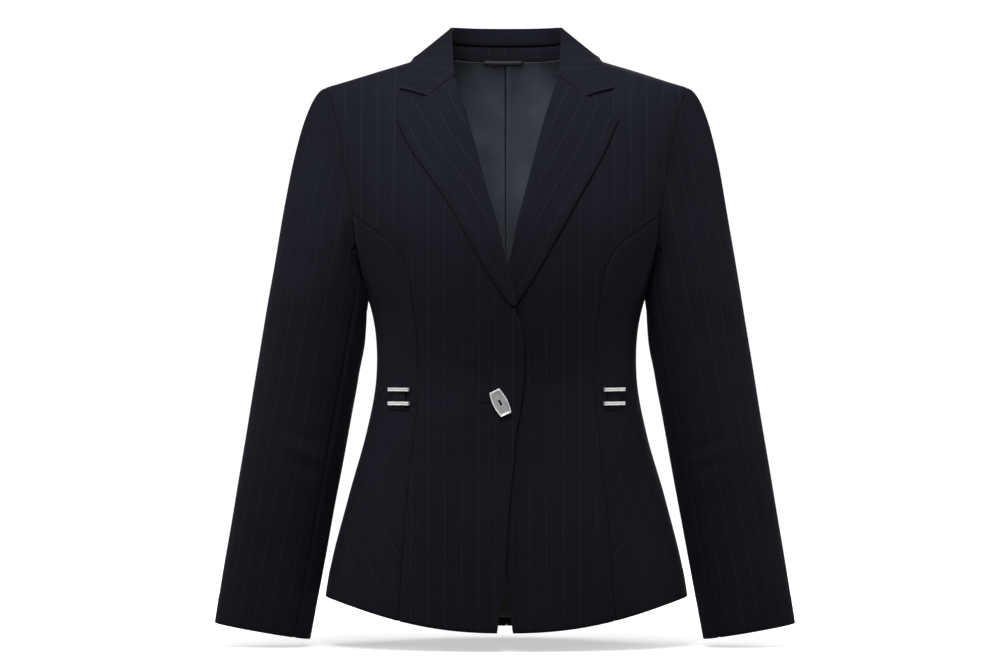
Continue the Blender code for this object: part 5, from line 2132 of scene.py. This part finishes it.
def tube(points: Array, radius: float, sides: int = 8) -> tuple[Array, Array]:
    """Makes a tube along a line, closed with a small cap at each end.

    Args:
        points: the line's points.
        radius: the tube's radius.
        sides: how many points each ring has.

    Returns:
        The tube's points and faces.
    """
    tangents = unit(np.gradient(points, axis=0))
    aside = unit(np.cross(tangents, (0.3, 0.9, 0.2)))
    up = np.cross(aside, tangents)
    angles = np.linspace(0, 2 * np.pi, sides, endpoint=False)[None, :, None]
    ring = np.cos(angles) * aside[:, None] + np.sin(angles) * up[:, None]
    sizes = np.full(len(points), radius)
    sizes[[0, -1]] = radius * 0.15
    return (
        points[:, None] + sizes[:, None, None] * ring
    ).reshape(-1, 3), loop_faces(len(points), sides, False)


def plain(name: str, finish: Material, points: Array, faces: Array) -> None:
    """Makes a piece of points and faces that is sewn on, with one finish."""
    make_piece(name, "suiting", (finish,), points, faces, points[:, [0, 2]], np.zeros(len(points)))


def on_front(side: Side, x: Array, z: Array, lift: float, lapped: bool = True) -> tuple[Array, Array]:
    """Lays points on a front, on its own side of the body.

    Args:
        side: which side of the body.
        x: distances from the centre line, on the left side.
        z: heights.
        lift: how far over the cloth they lie.
        lapped: whether they follow the lap of the fronts.

    Returns:
        The points and the normals.
    """
    x, z = np.broadcast_arrays(np.asarray(x, float), np.asarray(z, float))
    lift = lift + (FORM.lap(side, x, z) if lapped else 0)
    return FORM.point(x, z, Facing.FRONT, lift) * side.flip, FORM.normal(x, z, Facing.FRONT) * side.flip


@dataclass
class Waist:
    """The two short tabs of suiting under the metal bars."""

    finishes: Finishes
    span: tuple = (0.1093, 0.1223)
    heights: tuple = (-0.3815, -0.353)
    thick: float = 0.0012
    gap: float = 0.00045

    def build(self) -> None:
        """Makes the tabs."""
        for side in Side:
            x, z = np.linspace(*self.span, 22)[None], np.linspace(*self.heights, 44)[:, None]
            face = FORM.point(x, z, Facing.FRONT, self.gap + self.thick)
            normals, finishes = FORM.normal(x, z, Facing.FRONT), (self.finishes.suiting,)
            name = f"waist_tab_{side.word}_cloth"
            cloth = Cloth(name, face, normals, packed(x, z), sewn("ffff"), finishes, side, thick=self.thick)
            cloth.declare(cloth.build(), "laid", [f"side_{side.word}_cloth"])


@dataclass
class Sewing:
    """The stitches that show: buttonhole, lining, hanging loop, waist tabs and the felled turn-ups."""

    finishes: Finishes
    body: Body
    neckline: Neckline
    lining: Lining
    waist: Waist
    tree: StitchTree = field(default_factory=StitchTree)
    slit: tuple = (0.006, 0.0272)
    slit_height: float = -0.3728
    slit_radius: float = 0.00052
    purl_wide: float = 0.0011
    fell_inside: float = 0.03
    seam_inside: float = 0.0019
    tack_half: float = 0.0019
    tack_inset: float = 0.0012
    # spacing, length, radius, turn, jitter
    purls: tuple = (0.00042, 0.0015, 0.00016, math.pi / 2, 0.12)
    neck_fells: tuple = (0.0032, 0.0016, 0.00014, 0.9, 0.15)
    tacks: tuple = (0.0005, 0.0017, 0.00014, 1.4, 0.25)
    tab_runs: tuple = (0.0021, 0.0016, 0.00015, 0.0, 0.06)
    hem_fells: tuple = (0.006, 0.0026, 0.00016, 0.7, 0.12)

    def build(self) -> None:
        """Sews everything."""
        dark, pale = self.finishes.thread, self.finishes.pale_thread
        self.tree.sew("buttonhole_stitches", [self.buttonhole()], "suiting", dark, 4, self.purls)
        line, _ = on_front(Side.RIGHT, np.linspace(*self.slit, 24), self.slit_height, 0.00002)
        # painted shade: a near-black tube laid along the cut, where the slit's opening lies in shade
        plain("buttonhole_slit", self.finishes.black, *tube(line, self.slit_radius))
        self.tree.sew("lining_felling", [self.neck()], "satin", pale, 7, self.neck_fells)
        self.tree.sew("loop_tacks", self.loop_ends(), "satin", dark, 9, self.tacks)
        self.tree.sew("tab_stitches", self.tabs(), "suiting", dark, 12, self.tab_runs)
        self.tree.sew("hem_felling", self.turn_ups(), "satin", pale, 15, self.hem_fells)

    def buttonhole(self) -> tuple[Array, Array]:
        """Goes round the slit of the worked buttonhole.

        Returns:
            The path and its outward directions.
        """
        start, end = self.slit
        half, angle = self.purl_wide, np.linspace(0, 2 * np.pi, 121)
        x = (start + end) / 2 + np.clip(np.cos(angle) * 1.6, -1, 1) * (end - start) / 2
        x += half * 0.6 * np.cos(angle) * (np.abs(np.cos(angle)) > 0.7)
        z = self.slit_height + half * np.clip(np.sin(angle) * 2.2, -1, 1)
        return on_front(Side.RIGHT, x, z, SKIN)

    def neck(self) -> tuple[Array, Array]:
        """Follows the neck seam, where the lining is felled.

        Returns:
            The path and its outward directions.
        """
        half = np.linspace(0, self.neckline.stand_reach, 60)
        line = mirrored(self.neckline.line(half, self.neckline.neck_line))
        inwards = unit(line * (-1, -1, 0))
        return line + self.seam_inside * inwards + np.array((0, 0, -0.0004)), inwards

    def loop_ends(self) -> list:
        """Tacks down the ends of the hanging loop.

        Returns:
            The paths, each with its outward directions.
        """
        lining = self.lining
        z = np.linspace(lining.loop_height - self.tack_half, lining.loop_height + self.tack_half, 8)
        places = (lining.loop_ends[0] + self.tack_inset, lining.loop_ends[1] - self.tack_inset)
        return [
            (packed(x, lining.loop_depth - 0.0002, z), np.tile((0.0, -1.0, 0.0), (8, 1))) for x in places
        ]

    def tabs(self) -> list:
        """Sews down the ends of the waist tabs.

        Returns:
            The paths, each with its outward directions.
        """
        waist, inset = self.waist, 0.0012
        x = np.linspace(waist.span[0] + 0.001, waist.span[1] - 0.001, 20)
        lift = waist.gap + waist.thick + SKIN / 2
        heights = (waist.heights[0] + inset, waist.heights[1] - inset)
        return [on_front(side, x, height, lift, False) for side in Side for height in heights]

    def turn_ups(self) -> list:
        """Fells the lining to the turned-up hem, inside the blazer.

        Returns:
            The paths, each with its outward directions.
        """
        paths = []
        for side in Side:
            for face, normals in (self.body.front_grid(side), self.body.side_grid(), self.body.back_grid()):
                row = int(np.argmin(np.abs(runs(face, 0)[:, face.shape[1] // 2] - self.fell_inside)))
                inside = face[row] - (SUITING + SKIN) * normals[row]
                paths.append((inside * side.flip, -normals[row] * side.flip))
        return paths


# ---- metal


@dataclass(frozen=True)
class Seat:
    """A place on the front that a metal piece sits on: its middle and its own three directions."""

    middle: Array
    across: Array
    up: Array
    out: Array

    def at(self, a: Array, b: Array, height: Array) -> Array:
        """Returns points at distances across, up and out."""
        return self.middle + packed(a, b, height) @ np.array((self.across, self.up, self.out))


@dataclass
class Button:
    """The flat barrel of brushed metal with a raised rim and a slot, sewn on through the slot."""

    finishes: Finishes
    centre: tuple = (-0.0067, -0.3737)
    long: float = 0.029
    end_wide: float = 0.0118
    middle_wide: float = 0.0162
    thick: float = 0.0042
    tilt_deg: float = 26.5
    slot_long: float = 0.0073
    slot_wide: float = 0.0024
    lift: float = 0.0012
    rim: float = 0.0011
    dish: float = 0.00035
    around: int = 240
    # inset, height above the top (or, from the sixth on, above the back), wear: the rim from its inner foot
    rim_loops: Table = (
        (0.00115, -0.0001, 0.7), (0.001, 0.0, 1.0), (0.0006, 0.00005, 0.7), (0.00045, 0.0, 1.0),
        (0.0002, -0.0002, 1.0), (0.00005, -0.0005, 0.8), (0.0, -0.0008, 0.3)
    )
    back_loops: Table = ((0.0, 0.0008, 0.1), (0.0002, 0.0003, 0.1), (0.0008, 0.0, 0.0))
    strands: int = 5
    strand_radius: float = 0.00024

    def seat(self) -> Seat:
        """Finds where the button sits.

        Returns:
            The seat.
        """
        middle, out = on_front(Side.RIGHT, -self.centre[0], self.centre[1], self.lift)
        up = unit(np.array((0, 0, 1)) - out[2] * out)
        across = np.cross(up, out)
        tilt = -math.radians(self.tilt_deg)
        turned = across * math.cos(tilt) - up * math.sin(tilt)
        return Seat(middle, turned, across * math.sin(tilt) + up * math.cos(tilt), out)

    def outline(self) -> Array:
        """Draws the barrel with small rounded corners.

        Returns:
            The outline's points, anticlockwise.
        """
        t = np.linspace(-1, 1, 60)
        half = mix(self.middle_wide, self.end_wide, t * t) / 2
        right, left = packed(half, t * self.long / 2), packed(-half, t * self.long / 2)[::-1]
        corners = np.concatenate([right, left, right[:1]])
        run = np.concatenate([[0], np.cumsum(np.linalg.norm(np.diff(corners, axis=0), axis=1))])
        even = np.linspace(0, run[-1], self.around, endpoint=False)
        line = packed(*(np.interp(even, run, corners[:, k]) for k in (0, 1)))
        for _ in range(5):
            line = (np.roll(line, 1, axis=0) + 2 * line + np.roll(line, -1, axis=0)) / 4
        return line

    def slot(self, outline: Array) -> Array:
        """Draws the slot.

        Args:
            outline: the barrel's outline.

        Returns:
            The slot's outline, at the same directions from the middle.
        """
        angle = np.arctan2(outline[:, 1], outline[:, 0])
        cos, sin = np.cos(angle), np.sin(angle)
        half, reach = self.slot_wide / 2, (self.slot_long - self.slot_wide) / 2
        side = half / np.maximum(np.abs(cos), 1e-6)
        end = reach * np.abs(sin) + np.sqrt(np.maximum(half**2 - (reach * cos) ** 2, 0))
        return np.where(side * np.abs(sin) > reach, end, side)[:, None] * packed(cos, sin)

    def build(self) -> None:
        """Makes the button and the strands that hold it."""
        seat, outline = self.seat(), self.outline()
        slot = self.slot(outline)
        ahead = unit(np.roll(outline, -1, axis=0) - np.roll(outline, 1, axis=0))
        inwards = packed(-ahead[:, 1], ahead[:, 0])
        from_slot = unit(outline - slot)
        top, face = self.thick, self.thick - self.dish
        loops = [
            (slot, 0.0003, 0.0), (slot, face - 0.0003, 0.6),
            (slot + 0.0001 * from_slot, face - 0.0001, 0.9), (slot + 0.0003 * from_slot, face, 0.5)
        ]
        step, beside = outline + inwards * (self.rim + 0.0003), slot + 0.0004 * from_slot
        loops += [(mix(beside, step, share), face, 0.0) for share in (0, 0.2, 0.5, 0.8, 1)]
        loops += [(outline + inwards * inset, top + height, worn) for inset, height, worn in self.rim_loops]
        loops += [(outline + inwards * inset, height, worn) for inset, height, worn in self.back_loops]
        loops += [
            (mix(outline + inwards * 0.0008, beside, 0.5), 0.0, 0.0), (slot + 0.0003 * from_slot, 0.0, 0.0)
        ]
        flat = np.stack([line for line, _, _ in loops])
        heights = np.array([height for _, height, _ in loops])[:, None]
        points = seat.at(flat[..., 0], flat[..., 1], heights).reshape(-1, 3)
        worn = np.repeat([worn for _, _, worn in loops], self.around)
        faces, uv = loop_faces(len(loops), self.around, True), flat[..., ::-1].reshape(-1, 2)
        make_piece(
            "button_metal", "brushed_metal", (self.finishes.button,), points, faces, uv, worn,
            replaced="button"
        )
        t = np.linspace(-1, 1, 14)
        parts = []
        for shift in np.linspace(-0.0011, 0.0011, self.strands):
            height = -0.0006 + 0.0022 * (1 - t * t) + 0.0001 * np.sin(900 * shift)
            parts.append(tube(seat.at(t * 0.00095, shift + 0.0002 * t, height), self.strand_radius))
        points = np.concatenate([points for points, _ in parts])
        faces = np.concatenate([faces + k * len(parts[0][0]) for k, (_, faces) in enumerate(parts)])
        plain("button_strands", self.finishes.thread, points, faces)


@dataclass
class Bars:
    """The four flat bars over the waist tabs, each with a raised border round a shallow groove."""

    finishes: Finishes
    span: tuple = (0.1027, 0.1258)
    heights: dict = field(default_factory=lambda: {"upper": -0.3595, "lower": -0.3747})
    high: float = 0.004
    thick: float = 0.0024
    lift: float = 0.0021
    border: float = 0.0009
    groove: float = 0.00035
    bevel: float = 0.0006

    def seat(self, side: Side, height: float) -> tuple[Seat, float]:
        """Finds where a bar sits.

        Args:
            side: which side of the body.
            height: the bar's height on the body.

        Returns:
            The seat and the bar's half length.
        """
        places = (*self.span, sum(self.span) / 2)
        start, end, crown = (on_front(side, x, height, self.lift, False)[0] for x in places)
        across = unit(end - start) * int(side)
        out = unit(np.cross(across, (0, 0, 1)))
        middle = (start + end) / 2
        middle = middle + out * max(float(np.dot(crown - middle, out)), 0)
        long = (self.span[1] - self.span[0]) / 2 / max(abs(across[0]), 0.1)
        return Seat(middle, across, np.cross(out, across), out), float(long)

    def build(self) -> None:
        """Makes the four bars."""
        for side in Side:
            for place, height in self.heights.items():
                self.bar(f"waist_bar_{side.word}_{place}", *self.seat(side, height))

    def bar(self, name: str, seat: Seat, long: float) -> None:
        """Makes one bar.

        Args:
            name: its name.
            seat: where it sits.
            long: its half length.
        """
        near = np.array((0, 0.0001, 0.0003, self.bevel, self.border, self.border + 0.0002))
        lines = []
        for half, count in ((self.high / 2, 6), (long, 30)):
            low = -half + near
            lines.append(np.concatenate([low, np.linspace(low[-1], -low[-1], count)[1:-1], -low[::-1]]))
        b, a = np.meshgrid(*lines, indexing="ij")
        away = np.minimum(self.high / 2 - np.abs(b), long - np.abs(a))
        round_off = self.bevel * (1 - np.sqrt(1 - np.clip(1 - away / self.bevel, 0, 1) ** 2))
        sunk = self.groove * ease((away - self.border + 0.0001) / 0.0003)
        top, low = seat.at(a, b, self.thick - round_off - sunk), seat.at(a, b, 0.0)
        rim = rim_of(*a.shape)
        points = walled(top, low, (top[rim] + low[rim]) / 2)
        uv, worn = packed(a, b), bell((away - 0.0006) / 0.0004)
        uv, worn = walled(uv, uv, uv[rim]), walled(worn, 0 * worn, 0.3 + 0 * worn[rim][:, None])
        faces, metal = wall_faces(*a.shape), (self.finishes.bars,)
        make_piece(name + "_metal", "brushed_metal", metal, points, faces, uv, worn, replaced=name)


# ---- studio


@dataclass
class Studio:
    """Camera, pale floor and soft lights."""

    image: tuple = (1008, 672)
    pixel: float = 0.0011
    middle: tuple = (-0.00275, -0.3014)
    distance: float = 5.0
    sensor: float = 36.0
    floor_height: float = -0.641
    floor_reach: tuple = (1.8, -0.5, 2.6)  # to each side, towards the camera, away from it
    # the floor's glow, painted light: this share near the blazer, rising to full white across glow_from,
    # which leaves a dimmer painted-shade patch round it
    floor_glow: float = 0.52
    glow_from: tuple = (0.66, 0.84)
    spread_deg: float = 120
    # name, where it stands, the height that it faces, width, watts
    lights: tuple = (
        ("key", (-0.17, -0.9, 0.76), 0.05, 0.7, 7.0), ("fill", (0.25, -2.4, 0.6), -0.1, 1.2, 1.6),
        ("top", (0.0, 0.15, 1.6), -0.3, 1.3, 3.6), ("right_side", (-1.5, -0.35, 0.22), -0.15, 0.8, 3.3),
        ("left_side", (1.5, -0.35, 0.22), -0.15, 0.8, 3.0), ("back", (0.5, 2.1, 0.55), -0.25, 1.1, 9.0)
    )
    world_light: float = 0.04
    world_seen: float = 1.05

    def build(self) -> None:
        """Makes the camera, the floor, the lights and the world."""
        scene = bpy.context.scene
        data = bpy.data.cameras.new("camera")
        data.sensor_width = self.sensor
        data.lens = self.sensor * self.distance / (self.image[0] * self.pixel)
        camera = linked("camera", data)
        camera.location = (self.middle[0], -self.distance, self.middle[1])
        camera.rotation_euler = (math.pi / 2, 0, 0)
        scene.camera = camera
        scene.view_settings.view_transform = "Standard"
        self.floor()
        for light in self.lights:
            self.area(*light)
        world = bpy.data.worlds.new("white_cove")
        world.use_nodes = True
        nodes = Nodes(world.node_tree)
        white = (1, 1, 1, 1)
        lit = world.node_tree.nodes["Background"]
        nodes.feed(lit.inputs["Color"], white)
        nodes.feed(lit.inputs["Strength"], self.world_light)
        seen = nodes.node("ShaderNodeBackground", {"Color": white, "Strength": self.world_seen})
        path = nodes.node("ShaderNodeLightPath")
        inputs = {0: path.outputs["Is Camera Ray"], 1: lit.outputs[0], 2: seen.outputs[0]}
        blend = nodes.node("ShaderNodeMixShader", inputs)
        nodes.feed(world.node_tree.nodes["World Output"].inputs["Surface"], blend.outputs[0])
        scene.world = world

    def floor(self) -> None:
        """Makes the floor, a pale sheet far larger than the view, which glows with painted light: less near
        the blazer, so a dimmer patch of painted shade lies round it.
        """
        mesh = bpy.data.meshes.new("floor")
        wide, near, far = self.floor_reach
        corners = [(-wide, near), (wide, near), (wide, far), (-wide, far)]
        mesh.from_pydata([(x, y, self.floor_height) for x, y in corners], [], [(0, 1, 2, 3)])
        board = Board("pale_floor")
        speckle = board.noise(board.place(), 3.0, 3.0, 0.5)
        away = board.node("ShaderNodeVectorMath", {0: board.place()}, operation="LENGTH").outputs["Value"]
        # painted light: the floor glows, weaker near the middle, so a dimmer patch of painted shade lies
        # round the blazer, and full white further out
        inputs = {
            "Base Color": board.blend(speckle, grey(0.9), grey(0.93)), "Roughness": 0.8,
            "Specular IOR Level": 0.1, "Emission Color": (1, 1, 1, 1),
            "Emission Strength": board.remap(away, *self.glow_from, self.floor_glow, 1.0)
        }
        mesh.materials.append(board.done(inputs))
        floor = linked("floor", mesh)
        floor.visible_diffuse = False

    def area(self, name: str, place: tuple, faced: float, size: float, power: float) -> None:
        """Makes a square soft light.

        Args:
            name: its name.
            place: where it stands.
            faced: the height on the middle line that it faces.
            size: its width and height.
            power: its power in watts.
        """
        data = bpy.data.lights.new(name, "AREA")
        data.size, data.energy, data.spread = size, power, math.radians(self.spread_deg)
        light = linked(name, data)
        light.location = place
        light.rotation_euler = (
            Vector((0.0, 0.0, faced)) - Vector(place)
        ).to_track_quat("-Z", "Y").to_euler()


# ---- the blazer


def main() -> None:
    """Builds the blazer piece by piece and the studio round it."""
    logging.basicConfig(level=logging.INFO, format="%(name)s: %(message)s")
    finishes = Finishes()
    body = Body(finishes)
    sleeves = Sleeves(finishes, body)
    neckline = Neckline(finishes, body)
    lining = Lining(finishes, body)
    waist = Waist(finishes)
    on_body_folds = folds(FRONT_FOLDS, lambda x, z: FORM.point(x, z, Facing.FRONT))
    on_body_folds += folds(BACK_FOLDS, lambda x, z: FORM.point(x, z, Facing.BACK))
    armholes = {side: body.armhole_loop(side)[0][::4] for side in Side}
    body.build(Relief(on_body_folds, still=armholes))
    sleeves.build(Relief(folds(SLEEVE_FOLDS, sleeves.chart), still=armholes))
    neckline.build(Relief([], wave=0.09, height=0.00022))
    lining.build()
    waist.build()
    Button(finishes).build()
    Bars(finishes).build()
    Sewing(finishes, body, neckline, lining, waist).build()
    Studio().build()


if __name__ == "__main__":
    main()
